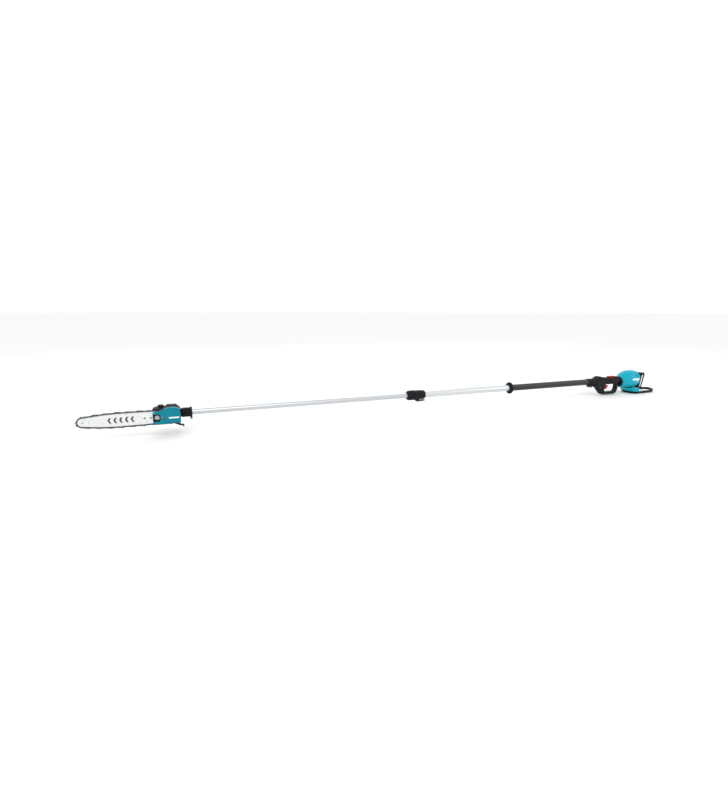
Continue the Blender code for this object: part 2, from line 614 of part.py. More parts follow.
def make_holder():
    """Clamp that holds the pole in front of the handle."""
    ring = circle_outline(0.0, 0.0, 18.6, SIDES)
    lug = [(-9.0, -15.0), (-9.0, -27.0), (9.0, -27.0), (9.0, -15.0)]
    rear = HANDLE_X - GAP
    body = joined(prism(ring, HOLDER_X, rear, "X"), prism(lug, HOLDER_X + 8, rear, "X"))
    body = cut(body, rod(900.0, 1100.0, OUTER_TUBE_R + GAP, "X", (0.0, 0.0, 0.0), SIDES))
    for number, x in enumerate((990.0, 1009.0), 1):
        place_at = (x, 0.0, 0.0)
        body = cut(body, rod(-40.0, -16.3, 3.0, "Z", place_at))
        bolt = joined(rod(-28.0, -17.0, 2.6, "Z", place_at), rod(-32.5, -27.4, 5.2, "Z", place_at))
        add_part(f"holder_bolt_{number}", bolt, "zinc_steel")
    add_part("pole_holder", body, "black_nylon")


# ---- motor unit -----------------------------------------------------------------------------------
# Place along the pole, height of the section's centre, half width and half height.
HOUSING_STATIONS = ((1215.0, -10.0, 30.0, 29.0), (1222.0, -8.5, 33.5, 33.0), (1232.0, -5.5, 38.0, 38.5),
                    (1245.0, -1.5, 43.0, 43.0), (1260.0, 0.5, 47.5, 47.0), (1278.0, 2.0, 49.5, 49.5),
                    (1296.0, 2.0, 49.5, 50.0), (1311.0, 1.5, 48.0, 49.0), (1325.0, 0.0, 44.5, 46.5))
HOUSING_LEAN = 0.16            # the rear face leans back towards its top
LIP_LEAN = 0.24                # and the rail lips lean more
GUARD_BEND_X = 1380.0
GUARD_RISE = 9.0
BASE_RAKE = 1.2                # the bow under the motor falls back as it goes down
INTAKE_Z = -10.0


def lean(x, z):
    """Shift of a point that belongs to the leaning rear face."""
    share = max(0.0, min(1.0, (x - 1270.0) / 55.0))
    return x + HOUSING_LEAN * (z + 20.0) * share


def housing_half(side):
    """A C-shaped section carried along the stations."""
    shape = bmesh.new()
    steps = 12
    rings = []
    for x, centre_z, width, height in HOUSING_STATIONS:
        ring = []
        for inset, order in ((0.0, range(steps + 1)), (3.0, range(steps, -1, -1))):
            for step in order:
                angle = math.pi / 2 - math.pi * step / steps
                y = (width - inset) * abs(math.cos(angle)) ** 0.95 if 0 < step < steps else 0.0
                z = centre_z + (height - inset) * math.sin(angle)
                ring.append(shape.verts.new((lean(x, z), side * (y + GAP / 2), z)))
        rings.append(ring)
    shape.faces.new(rings[0])
    shape.faces.new(rings[-1])
    skin(shape, rings)
    return shape


def bow_outline(half_width, front, rear, reach):
    """Plan view: a rounded bow in front and a square end behind."""
    points = []
    for step in range(11):
        angle = math.pi / 2 * (step / 5 - 1)
        points.append((front + reach * (1 - math.cos(angle)), half_width * math.sin(angle)))
    return points + [(rear, half_width), (rear, -half_width)]


def raked(shape, top, rear, slope):
    """Draw the front back as it goes down, and leave the rear where it is."""
    front = min(v.co.x for v in shape.verts)
    for vertex in shape.verts:
        share = (rear - vertex.co.x) / (rear - front)
        vertex.co.x += slope * (top - vertex.co.z) * share
    return shape


def make_housing():
    """Two shells round the motor, the intake behind the handle and the base under them."""
    for name, side in (("housing_left_half", -1), ("housing_right_half", 1)):
        shell = cut(housing_half(side), block((1100.0, -60.0, -70.0), (1400.0, 60.0, -46.0)))
        add_part(name, shell, "teal_nylon")
    at = (0.0, 0.0, INTAKE_Z)
    front = HOUSING_X + 1.0
    grille = turned([(front, 0.0), (front, 21.0), (1208.0, 27.0), (1214.6, 28.0), (1214.6, 0.0)],
                    centre=at)
    tools = [rod(1190.0, 1230.0, OUTER_TUBE_R + GAP, sides=SIDES)]
    for slot in range(5):
        spoke = block((1190.0, -1.8, 18.0), (1230.0, 1.8, 24.5))
        spoke.transform(Matrix.Rotation(math.radians(100.0 + 40.0 * slot), 4, "X"))
        spoke.transform(Matrix.Translation(at))
        tools.append(spoke)
    add_part("intake_grille", cut(grille, *tools), "black_nylon")
    rear = BASE_REAR_X - 2.0
    skirt = rounded(prism(bow_outline(49.0, 1254.0, rear, 46.0), -67.0, -46.3, "Z"), 2.5, 60.0)
    skirt = cut(skirt, prism(bow_outline(43.0, 1276.0, 1316.0, 34.0), -70.0, -49.3, "Z"))
    add_part("lower_housing", raked(skirt, -46.3, rear, BASE_RAKE), "teal_nylon")
    base = rounded(prism(bow_outline(51.5, 1276.0, BASE_REAR_X, 42.0), -80.0, -67.3, "Z"), 2.5, 60.0)
    base = cut(base, prism(bow_outline(44.0, 1290.0, 1316.0, 24.0), -77.0, -60.0, "Z"))
    base = raked(base, -67.3, BASE_REAR_X, BASE_RAKE)
    at = (1323.0, 0.0, 0.0)
    base = cut(base, rod(-90.0, -50.0, 2.3, "Z", at), rod(-90.0, -76.0, 4.4, "Z", at))
    add_part("base_skid", base, "black_nylon")
    screw = joined(rod(-79.0, -67.6, 1.9, "Z", at), rod(-79.5, -76.4, 4.0, "Z", at))
    add_part("base_screw", screw, "zinc_steel")


def guard_outline(half_width, tip, front):
    """U shape, open towards the base."""
    centre = tip - half_width
    points = [(front, -half_width)]
    for step in range(13):
        angle = -math.pi / 2 + math.pi * step / 12
        points.append((centre + half_width * math.cos(angle), half_width * math.sin(angle)))
    return points + [(front, half_width)]


def make_guard():
    """U-shaped bar behind the base that shields the battery. It curves up towards its tip."""
    front = BASE_REAR_X + GAP
    guard = rounded(prism(guard_outline(50.0, REAR_X, front), -80.0, -67.0, "Z"), 3.0, 60.0)
    inner = prism(guard_outline(38.0, REAR_X - 14.0, front - 12.0), -90.0, -50.0, "Z")
    guard = cut(guard, inner)
    for vertex in guard.verts:
        share = max(0.0, (vertex.co.x - GUARD_BEND_X) / (REAR_X - GUARD_BEND_X))
        vertex.co.z += GUARD_RISE * share ** 2
    add_part("rear_guard", guard, "black_nylon")


def make_motor():
    """Brushless motor on the drive shaft, its fan and its control board."""
    bell = [(1246.0, 5.4), (1246.0, 18.0), (1252.0, 32.0), (1256.0, 33.5), (1256.0, 5.4)]
    add_part("motor_front_bell", turned(bell), "satin_aluminium")
    add_part("stator", pipe(1258.0, 1290.0, 20.0, 34.0), "copper")
    rotor = joined(rod(1260.0, 1288.0, 19.4, sides=24), rod(1226.3, 1316.0, 5.0))
    add_part("rotor", rotor, "chain_steel")
    fan = prism(toothed_outline(9, 14.0, 32.0), 1295.0, 1302.0, "X")
    add_part("cooling_fan", cut(fan, rod(1290.0, 1330.0, 5.3)), "black_nylon")
    plate = [(1306.0, 5.4), (1306.0, 32.0), (1309.0, 32.0), (1316.0, 18.0), (1316.0, 5.4)]
    add_part("motor_rear_plate", turned(plate), "satin_aluminium")
    board = rounded(block((1304.5, -22.0, -76.7), (1314.0, 22.0, -52.0)), 2.0, 60.0)
    add_part("control_board", board, "satin_aluminium")


def make_battery_mount():
    """Leaning plate with two rails that a battery slides down, and the terminal block between them."""
    outline = [(MOUNT_X, -36.0), (MOUNT_X, 36.0), (MOUNT_LIP_X, 36.0), (MOUNT_LIP_X, 26.0), (1357.0, 26.0),
               (1357.0, 31.0), (MOUNT_SEAT_X, 31.0), (MOUNT_SEAT_X, -31.0), (1357.0, -31.0), (1357.0, -26.0),
               (MOUNT_LIP_X, -26.0), (MOUNT_LIP_X, -36.0)]
    plate = prism(outline, -45.8, 40.0, "Z")
    pocket = block((MOUNT_SEAT_X - 4.0, -13.5, -30.5), (MOUNT_SEAT_X + 9.0, 13.5, 4.5))
    plate = cut(plate, pocket)
    terminals = block((MOUNT_SEAT_X - 3.7, -13.0, -30.0), (1354.0, 13.0, 4.0))
    for name, shape, finish in (("battery_mount", plate, "black_nylon"),
                                ("terminal_block", terminals, "black_rubber")):
        for vertex in shape.verts:
            share = (vertex.co.x - MOUNT_X) / (MOUNT_LIP_X - MOUNT_X)
            slope = HOUSING_LEAN + (LIP_LEAN - HOUSING_LEAN) * share
            vertex.co.x += slope * (vertex.co.z + 20.0)
        add_part(name, shape, finish)


def main():
    clear_scene()
    make_guide_bar()
    make_chain()
    make_gear_case()
    make_gears()
    make_cover()
    make_hook()
    make_coupling()
    make_pole()
    make_clamp()
    make_handle()
    make_controls()
    make_holder()
    make_housing()
    make_guard()
    make_motor()
    make_battery_mount()


main()
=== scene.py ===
"""Looks of the telescoping pole saw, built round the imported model.

Shapes are written in millimetres from the pole's axis, with X along the pole and the saw head at -X.
piece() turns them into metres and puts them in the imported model's frame.
"""

import json
import math

import bmesh
import bpy
from mathutils import Matrix, Vector


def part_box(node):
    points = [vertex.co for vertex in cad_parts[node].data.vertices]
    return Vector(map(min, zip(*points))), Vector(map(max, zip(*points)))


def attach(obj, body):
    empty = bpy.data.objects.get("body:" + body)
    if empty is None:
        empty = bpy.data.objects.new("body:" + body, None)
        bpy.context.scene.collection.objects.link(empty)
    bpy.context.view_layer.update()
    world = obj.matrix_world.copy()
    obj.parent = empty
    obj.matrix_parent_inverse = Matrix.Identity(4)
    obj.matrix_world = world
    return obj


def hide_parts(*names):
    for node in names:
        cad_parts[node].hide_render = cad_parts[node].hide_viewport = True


bl_info = {
    "name": "Telescoping Pole Saw",
    "version": (1, 0, 0),
    "blender": (4, 5, 0),
    "location": "3D Viewport > Sidebar > Pole Saw",
    "description": "Builds the visible pieces, finishes and stage of a telescoping pole saw",
    "category": "Object",
}

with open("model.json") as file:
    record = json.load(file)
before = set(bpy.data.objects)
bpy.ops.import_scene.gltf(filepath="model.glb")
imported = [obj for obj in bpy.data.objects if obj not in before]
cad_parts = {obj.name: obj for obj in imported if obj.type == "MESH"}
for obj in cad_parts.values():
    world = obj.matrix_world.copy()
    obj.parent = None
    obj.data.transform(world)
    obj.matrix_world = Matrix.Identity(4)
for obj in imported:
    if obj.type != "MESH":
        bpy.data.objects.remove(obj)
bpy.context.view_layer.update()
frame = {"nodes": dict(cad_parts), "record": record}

MM = 0.001
AXIS_HEIGHT = (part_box("outer_tube")[0].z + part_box("outer_tube")[1].z) / 2 / MM


def node_box(node):
    """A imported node's low and high corners, in millimetres from the pole's axis."""
    low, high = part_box(node)
    lift = Vector((0.0, 0.0, AXIS_HEIGHT))
    return low / MM - lift, high / MM - lift


def node_middle(node):
    """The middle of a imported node's box, in millimetres from the pole's axis."""
    low, high = node_box(node)
    return (low + high) / 2


# ---- settings ------------------------------------------------------------------------------------
class PoleSawSizes(bpy.types.PropertyGroup):
    tube_sides: bpy.props.IntProperty(name="Tube sides", description="Facets round a tube", default=72, min=16)
    chain_pitch: bpy.props.FloatProperty(
        name="Chain pitch", description="Distance between two chain rivets, in millimetres", default=9.3, min=4.0)
    exhaust_slots: bpy.props.IntProperty(
        name="Exhaust slots", description="Cooling slots on each side of the motor housing", default=7, min=0)


def colour_property(label, about, hexes):
    """A colour picker whose default is an sRGB hex value, stored linear."""
    return bpy.props.FloatVectorProperty(
        name=label, description=about, subtype="COLOR", size=3, min=0.0, max=1.0, default=linear(hexes))


def linear(hexes):
    """An sRGB hex colour turned to linear light."""
    def channel(value):
        return value / 12.92 if value <= 0.04045 else ((value + 0.055) / 1.055) ** 2.4
    return tuple(channel(int(hexes[i:i + 2], 16) / 255.0) for i in (1, 3, 5))


class PoleSawColours(bpy.types.PropertyGroup):
    housing: colour_property("Housing", "Teal of the motor housing", "#009EB3")
    cover: colour_property("Cover", "Teal of the sprocket cover", "#00798B")
    plastic: colour_property("Black plastic", "Moulded black of handle, clamps and base", "#14161A")
    sleeve: colour_property("Sleeve", "Black of the grip sleeve", "#121417")
    rubber: colour_property("Rubber", "Soft black of panel and grip pads", "#111214")
    control: colour_property("Controls", "Red of trigger and lock-off lever", "#A3202A")
    mark: colour_property("Marks", "Plain printed strips", "#E9EEEE")


# ---- materials -----------------------------------------------------------------------------------
def add(tree, kind, settings=None, **links):
    """Add a node, set its properties and sockets, and link sockets given as (node, output) pairs."""
    node = tree.nodes.new(kind)
    for key, value in (settings or {}).items():
        if hasattr(node, key) and key not in node.inputs:
            setattr(node, key, value)
        else:
            node.inputs[key].default_value = value
    for key, (source, output) in links.items():
        tree.links.new(source.outputs[output], node.inputs[key.replace("_", " ")])
    return node


def per_metre(size_mm):
    """Texture scale that gives a feature of this size."""
    return 1000.0 / size_mm


def new_material(name, colour, metallic, roughness):
    """A Principled shader with its own constant values, and coordinates in the piece's own space."""
    material = bpy.data.materials.new(name)
    material.use_nodes = True
    tree = material.node_tree
    shader = tree.nodes["Principled BSDF"]
    shader.inputs["Base Color"].default_value = (*colour, 1.0)
    shader.inputs["Metallic"].default_value = metallic
    shader.inputs["Roughness"].default_value = roughness
    material.diffuse_color = (*colour, 1.0)
    place = add(tree, "ShaderNodeTexCoord")
    return material, tree, shader, place


def spread(tree, shader, source, output, colour, low, high, rough):
    """Colour and roughness that wander a little with a pattern: colour times low to high, roughness in rough."""
    tint = add(tree, "ShaderNodeMapRange", {"To Min": low, "To Max": high}, Value=(source, output))
    shade = add(tree, "ShaderNodeMix", {"data_type": "RGBA", "blend_type": "MULTIPLY"})
    shade.inputs[0].default_value = 1.0
    shade.inputs[6].default_value = (*colour, 1.0)
    tree.links.new(tint.outputs[0], shade.inputs[7])
    tree.links.new(shade.outputs[2], shader.inputs["Base Color"])
    dull = add(tree, "ShaderNodeMapRange", {"To Min": rough[0], "To Max": rough[1]}, Value=(source, output))
    tree.links.new(dull.outputs[0], shader.inputs["Roughness"])


def relief(tree, shader, source, output, depth_mm, strength=0.6):
    """Small bumps from a pattern, with their depth in millimetres."""
    bump = add(tree, "ShaderNodeBump", {"Strength": strength, "Distance": depth_mm * MM}, Height=(source, output))
    tree.links.new(bump.outputs[0], shader.inputs["Normal"])


def moulded_nylon(name, colour, roughness, grain_mm=0.7, gloss=0.0):
    """Glass-filled nylon from a spark-eroded mould: an even fine grain, half-matt, slightly cloudy in colour."""
    material, tree, shader, place = new_material(name, colour, 0.0, roughness)
    shader.inputs["IOR"].default_value = 1.53
    shader.inputs["Specular IOR Level"].default_value = 0.12 + gloss / 2
    cloud = add(tree, "ShaderNodeTexNoise", {"Scale": per_metre(28.0), "Detail": 4.0}, Vector=(place, "Object"))
    grain = add(tree, "ShaderNodeTexNoise", {"Scale": per_metre(grain_mm), "Detail": 2.0}, Vector=(place, "Object"))
    spread(tree, shader, cloud, 0, colour, 0.86, 1.14, (roughness - 0.06, roughness + 0.08))
    relief(tree, shader, grain, 0, 0.06, 0.35)
    return material


def soft_elastomer(name, colour):
    """Thermoplastic elastomer moulded over nylon: dull, with a faint bloom and fine pebbles."""
    material, tree, shader, place = new_material(name, colour, 0.0, 0.72)
    shader.inputs["IOR"].default_value = 1.5
    shader.inputs["Specular IOR Level"].default_value = 0.2
    shader.inputs["Sheen Weight"].default_value = 0.04
    shader.inputs["Sheen Roughness"].default_value = 0.6
    pebbles = add(tree, "ShaderNodeTexVoronoi", {"Scale": per_metre(1.1)}, Vector=(place, "Object"))
    spread(tree, shader, pebbles, 0, colour, 0.85, 1.2, (0.66, 0.8))
    relief(tree, shader, pebbles, 0, 0.08, 0.4)
    return material


def vinyl_sleeve(name, colour):
    """PVC tube drawn over aluminium: smooth and fairly glossy, with faint lengthwise flow."""
    material, tree, shader, place = new_material(name, colour, 0.0, 0.3)
    shader.inputs["IOR"].default_value = 1.54
    shader.inputs["Specular IOR Level"].default_value = 0.4
    stretch = add(tree, "ShaderNodeMapping", {"Scale": (0.04, 1.0, 1.0)}, Vector=(place, "Object"))
    flow = add(tree, "ShaderNodeTexNoise", {"Scale": per_metre(4.0), "Detail": 5.0}, Vector=(stretch, 0))
    spread(tree, shader, flow, 0, colour, 0.8, 1.25, (0.24, 0.4))
    relief(tree, shader, flow, 0, 0.05, 0.25)
    return material


def drawn_aluminium(name, hexes="#C6C9CC", roughness=0.3):
    """Drawn and clear-anodised tube: bright satin with fine lengthwise draw lines."""
    colour = linear(hexes)
    material, tree, shader, place = new_material(name, colour, 1.0, roughness)
    shader.inputs["Anisotropic"].default_value = 0.35
    stretch = add(tree, "ShaderNodeMapping", {"Scale": (0.012, 1.0, 1.0)}, Vector=(place, "Object"))
    lines = add(tree, "ShaderNodeTexNoise", {"Scale": per_metre(1.6), "Detail": 6.0}, Vector=(stretch, 0))
    spread(tree, shader, lines, 0, colour, 0.93, 1.05, (roughness - 0.07, roughness + 0.1))
    relief(tree, shader, lines, 0, 0.02, 0.3)
    return material


def ground_steel(name):
    """Guide bar steel, surface-ground and lacquered: light, brushed lengthwise, with faint oil mottling."""
    colour = linear("#E9EAEB")
    material, tree, shader, place = new_material(name, colour, 1.0, 0.42)
    shader.inputs["Anisotropic"].default_value = 0.4
    stretch = add(tree, "ShaderNodeMapping", {"Scale": (0.05, 1.0, 1.0)}, Vector=(place, "Object"))
    brush = add(tree, "ShaderNodeTexNoise", {"Scale": per_metre(1.2), "Detail": 5.0}, Vector=(stretch, 0))
    mottle = add(tree, "ShaderNodeTexNoise", {"Scale": per_metre(14.0), "Detail": 6.0, "Roughness": 0.65},
                 Vector=(place, "Object"))
    both = add(tree, "ShaderNodeMath", {"operation": "MULTIPLY_ADD"})
    tree.links.new(mottle.outputs[0], both.inputs[0])
    both.inputs[1].default_value = 0.75
    share = add(tree, "ShaderNodeMath", {"operation": "MULTIPLY"})
    share.inputs[1].default_value = 0.25
    tree.links.new(brush.outputs[0], share.inputs[0])
    tree.links.new(share.outputs[0], both.inputs[2])
    spread(tree, shader, both, 0, colour, 0.7, 1.22, (0.34, 0.5))
    relief(tree, shader, brush, 0, 0.015, 0.3)
    return material


def oiled_steel(name, hexes="#34363A", roughness=0.4):
    """Blued alloy steel, tumbled and oiled: dark, uneven, with bright rubbed spots."""
    colour = linear(hexes)
    material, tree, shader, place = new_material(name, colour, 1.0, roughness)
    blotch = add(tree, "ShaderNodeTexNoise", {"Scale": per_metre(3.0), "Detail": 5.0}, Vector=(place, "Object"))
    spread(tree, shader, blotch, 0, colour, 0.6, 1.5, (roughness - 0.1, roughness + 0.16))
    relief(tree, shader, blotch, 0, 0.03, 0.3)
    return material


def zinc_plate(name):
    """Zinc-plated, passivated steel: pale grey with a soft spangle."""
    colour = linear("#AEB2B6")
    material, tree, shader, place = new_material(name, colour, 1.0, 0.32)
    spangle = add(tree, "ShaderNodeTexVoronoi", {"Scale": per_metre(1.4)}, Vector=(place, "Object"))
    spread(tree, shader, spangle, 0, colour, 0.85, 1.1, (0.26, 0.42))
    return material


def wound_copper(name):
    """Enamelled copper wire wound on laminations: warm metal in close round strands."""
    colour = linear("#B4693A")
    material, tree, shader, place = new_material(name, colour, 1.0, 0.34)
    strands = add(tree, "ShaderNodeTexWave", {"wave_type": "BANDS", "bands_direction": "Z", "Scale": per_metre(3.2),
                                              "Distortion": 1.0}, Vector=(place, "Object"))
    spread(tree, shader, strands, 0, colour, 0.6, 1.15, (0.28, 0.45))
    relief(tree, shader, strands, 0, 0.2, 0.6)
    return material


def printed_ink(name, colour):
    """Pad-printed ink: opaque, faintly speckled where it thins over the grain."""
    material, tree, shader, place = new_material(name, colour, 0.0, 0.45)
    speck = add(tree, "ShaderNodeTexNoise", {"Scale": per_metre(1.5), "Detail": 3.0}, Vector=(place, "Object"))
    spread(tree, shader, speck, 0, colour, 0.86, 1.02, (0.4, 0.55))
    return material


def pale_floor(name):
    """Matt painted studio floor, almost white and barely uneven."""
    colour = linear("#F1F1F0")
    material, tree, shader, place = new_material(name, colour, 0.0, 0.8)
    shader.inputs["Specular IOR Level"].default_value = 0.2
    cloud = add(tree, "ShaderNodeTexNoise", {"Scale": 0.8, "Detail": 3.0}, Vector=(place, "Object"))
    spread(tree, shader, cloud, 0, colour, 0.985, 1.0, (0.76, 0.84))
    return material


MATERIALS = {}


def make_materials(colours):
    """Fill MATERIALS with every finish, from the colours of the panel."""
    made = {
        "black_nylon": moulded_nylon("black_moulded_nylon", tuple(colours.plastic), 0.46),
        "black_rubber": soft_elastomer("black_elastomer", tuple(colours.rubber)),
        "sleeve": vinyl_sleeve("black_vinyl_sleeve", tuple(colours.sleeve)),
        "teal_nylon": moulded_nylon("teal_moulded_nylon", tuple(colours.housing), 0.3, 0.9, 0.12),
        "teal_cover": moulded_nylon("teal_cover_nylon", tuple(colours.cover), 0.34, 0.8, 0.1),
        "red_nylon": moulded_nylon("red_moulded_nylon", tuple(colours.control), 0.34, 0.8, 0.1),
        "brown_nylon": moulded_nylon("brown_cap_nylon", linear("#33231C"), 0.42),
        "white_acetal": moulded_nylon("white_turned_acetal", linear("#DAD9D2"), 0.4),
        "satin_aluminium": drawn_aluminium("drawn_aluminium"),
        "bright_aluminium": drawn_aluminium("outer_drawn_aluminium", "#D3D6D8", 0.26),
        "bar_steel": ground_steel("ground_bar_steel"),
        "chain_steel": oiled_steel("oiled_chain_steel"),
        "cutter_steel": oiled_steel("chromed_cutter_steel", "#5E6166", 0.32),
        "zinc_steel": zinc_plate("zinc_plated_steel"),
        "copper": wound_copper("wound_copper"),
        "ink": printed_ink("white_print", tuple(colours.mark)),
        "dark_ink": printed_ink("charcoal_print", linear("#2B2D30")),
        "lamp": moulded_nylon("green_lamp_lens", linear("#2E7D4F"), 0.25),
    }
    MATERIALS.clear()
    MATERIALS.update(made)


# ---- shapes --------------------------------------------------------------------------------------
def place_round(along, radius, angle, axis, centre):
    """A point at an angle round an axis."""
    a = radius * math.cos(angle)
    b = radius * math.sin(angle)
    offset = {"X": (along, a, b), "Y": (b, along, a), "Z": (a, b, along)}[axis]
    return Vector(centre) + Vector(offset)


def turned(profile, axis="X", centre=(0.0, 0.0, 0.0), sides=64):
    """Revolve (along, radius) points: closed if the first radius is over 0, else solid from pole to pole."""
    shape = bmesh.new()
    rings = []
    for along, radius in profile:
        count = sides if radius > 0 else 1
        rings.append([shape.verts.new(place_round(along, radius, math.tau * i / sides, axis, centre))
                      for i in range(count)])
    pairs = list(zip(rings, rings[1:]))
    if profile[0][1] > 0:
        pairs.append((rings[-1], rings[0]))
    for ring, following in pairs:
        for i in range(sides):
            j = (i + 1) % sides
            if len(ring) == 1:
                shape.faces.new((ring[0], following[i], following[j]))
            elif len(following) == 1:
                shape.faces.new((ring[i], following[0], ring[j]))
            else:
                shape.faces.new((ring[i], following[i], following[j], ring[j]))
    bmesh.ops.recalc_face_normals(shape, faces=shape.faces[:])
    return shape


def rod(start, end, radius, axis="X", centre=(0.0, 0.0, 0.0), sides=32, chamfer=0.0):
    """A plain or chamfered cylinder."""
    c = chamfer
    profile = [(start, 0.0), (start, radius - c), (start + c, radius), (end - c, radius), (end, radius - c),
               (end, 0.0)]
    if c == 0.0:
        profile = [(start, 0.0), (start, radius), (end, radius), (end, 0.0)]
    return turned(profile, axis, centre, sides)


def tube(start, end, bore, radius, axis="X", centre=(0.0, 0.0, 0.0), sides=64, chamfer=0.4):
    """A cylinder with a bore and chamfered outer edges."""
    profile = [(start, bore), (start, radius - chamfer), (start + chamfer, radius), (end - chamfer, radius),
               (end, radius - chamfer), (end, bore)]
    return turned(profile, axis, centre, sides)


def prism(outline, start, end, axis="Y"):
    """Extrude a 2-D outline: (x, z) along Y, (y, z) along X, (x, y) along Z."""
    def point(u, v, w):
        return {"Y": (u, w, v), "X": (w, u, v), "Z": (u, v, w)}[axis]
    shape = bmesh.new()
    near = [shape.verts.new(point(u, v, start)) for u, v in outline]
    far = [shape.verts.new(point(u, v, end)) for u, v in outline]
    shape.faces.new(near)
    shape.faces.new(far)
    for i in range(len(outline)):
        j = (i + 1) % len(outline)
        shape.faces.new((near[i], near[j], far[j], far[i]))
    bmesh.ops.recalc_face_normals(shape, faces=shape.faces[:])
    return shape


def skinned(rings):
    """A closed shape from rings of points with the same count, capped at both ends."""
    shape = bmesh.new()
    loops = [[shape.verts.new(point) for point in ring] for ring in rings]
    shape.faces.new(loops[0])
    shape.faces.new(loops[-1])
    for loop, following in zip(loops, loops[1:]):
        for i in range(len(loop)):
            j = (i + 1) % len(loop)
            shape.faces.new((loop[i], loop[j], following[j], following[i]))
    bmesh.ops.recalc_face_normals(shape, faces=shape.faces[:])
    return shape


def rectangle(u_low, v_low, u_high, v_high):
    """A rectangle's outline."""
    return [(u_low, v_low), (u_high, v_low), (u_high, v_high), (u_low, v_high)]


def block(low, high):
    """A box between two corners."""
    return prism(rectangle(low[0], low[2], high[0], high[2]), low[1], high[1])


def round_edges(shape, width, angle=40.0, segments=3, only=None):
    """Round the edges that turn by more than the angle and that the test accepts."""
    edges = [e for e in shape.edges
             if e.is_manifold and e.calc_face_angle(0) > math.radians(angle) and (only is None or only(e))]
    bmesh.ops.bevel(shape, geom=edges, offset=width, segments=segments, profile=0.5, affect="EDGES",
                    clamp_overlap=True)
    return shape


def round_outline(corners, radius, steps=6):
    """Round every corner of an outline, with a reach kept inside its two sides."""
    points = []
    count = len(corners)
    for i in range(count):
        corner = Vector(corners[i])
        before = Vector(corners[i - 1]) - corner
        after = Vector(corners[(i + 1) % count]) - corner
        reach = min(radius, before.length * 0.46, after.length * 0.46)
        start = corner + before.normalized() * reach
        end = corner + after.normalized() * reach
        for step in range(steps + 1):
            t = step / steps
            points.append(tuple(start * (1 - t) ** 2 + corner * 2 * t * (1 - t) + end * t ** 2))
    return points


def circle(cx, cz, radius, sides=32):
    """A circle's outline."""
    return [(cx + radius * math.cos(math.tau * i / sides), cz + radius * math.sin(math.tau * i / sides))
            for i in range(sides)]


def combined(base, tool, operation):
    """Boolean of two shapes, both used up."""
    objects = []
    for label, shape in (("base", base), ("tool", tool)):
        mesh = bpy.data.meshes.new(label)
        shape.to_mesh(mesh)
        shape.free()
        obj = bpy.data.objects.new(label, mesh)
        bpy.context.scene.collection.objects.link(obj)
        objects.append(obj)
    modifier = objects[0].modifiers.new("cut", "BOOLEAN")
    modifier.operation = operation
    modifier.solver = "EXACT"
    modifier.object = objects[1]
    evaluated = objects[0].evaluated_get(bpy.context.evaluated_depsgraph_get())
    result = bmesh.new()
    result.from_mesh(evaluated.to_mesh())
    for obj in objects:
        mesh = obj.data
        bpy.data.objects.remove(obj, do_unlink=True)
        bpy.data.meshes.remove(mesh)
    if not result.faces:
        raise RuntimeError(f"nothing is left of a shape after {operation}")
    return result


def cut(base, *tools):
    """A shape less the tools."""
    for tool in tools:
        base = combined(base, tool, "DIFFERENCE")
    return base


def joined(base, *tools):
    """A shape and the tools in one skin."""
    for tool in tools:
        base = combined(base, tool, "UNION")
    return base


def gathered(shapes):
    """Several separate shapes in one mesh."""
    result = bmesh.new()
    for shape in shapes:
        mesh = bpy.data.meshes.new("part")
        shape.to_mesh(mesh)
        shape.free()
        result.from_mesh(mesh)
        bpy.data.meshes.remove(mesh)
    return result


def piece(name, shape, material, body, stands_for=(), smooth=35.0, soften=0.0):
    """Make a visible piece from a shape in millimetres, and tie it to its body."""
    shape.transform(Matrix.Translation((0.0, 0.0, AXIS_HEIGHT)))
    shape.transform(Matrix.Scale(MM, 4))
    mesh = bpy.data.meshes.new(name)
    shape.to_mesh(mesh)
    shape.free()
    mesh.materials.append(MATERIALS[material])
    mesh.shade_smooth()
    mesh.set_sharp_from_angle(angle=math.radians(smooth))
    obj = bpy.data.objects.new(name, mesh)
    bpy.context.scene.collection.objects.link(obj)
    if soften:
        bevel = obj.modifiers.new("soft edges", "BEVEL")
        bevel.width = soften * MM
        bevel.segments = 3
        bevel.limit_method = "ANGLE"
        bevel.angle_limit = math.radians(38)
        bevel.use_clamp_overlap = True
    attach(obj, body)
    if stands_for:
        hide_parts(*stands_for)
    return obj


# ---- bar and chain -------------------------------------------------------------------------------
BAR_LOW, BAR_HIGH = node_box("guide_bar")
SPROCKET_LOW, SPROCKET_HIGH = node_box("drive_sprocket")
BAR_Y = (BAR_LOW.y + BAR_HIGH.y) / 2
BAR_Z = (BAR_LOW.z + BAR_HIGH.z) / 2
BAR_NOSE = 15.0                # nose radius of the bar
RIVET_OUT = 3.4                # how far the chain's rivets run outside the bar's edge
CHAIN_ROOM = 6.6               # room for the chain in the gear case, from its rivets outwards
SLEEVE_BORE = 15.8             # bore of all that is pushed over the outer tube
HALF_GAP = 0.15                # from the middle plane to each half of handle and housing
UPRIGHT_PLANE = Vector((1.0, 0.0, 1.0))    # takes a point to the pole's upright middle plane
THROUGH_Y = (-60.0, -20.0)     # from before the cover's face to behind its back
BAR_HALF = (BAR_HIGH.y - BAR_LOW.y) / 2
SPROCKET_X = (SPROCKET_LOW.x + SPROCKET_HIGH.x) / 2
SPROCKET_R = (SPROCKET_HIGH.x - SPROCKET_LOW.x) / 2
STUD_X = node_middle("bar_stud").x
TENSION_X = node_middle("tension_screw").x


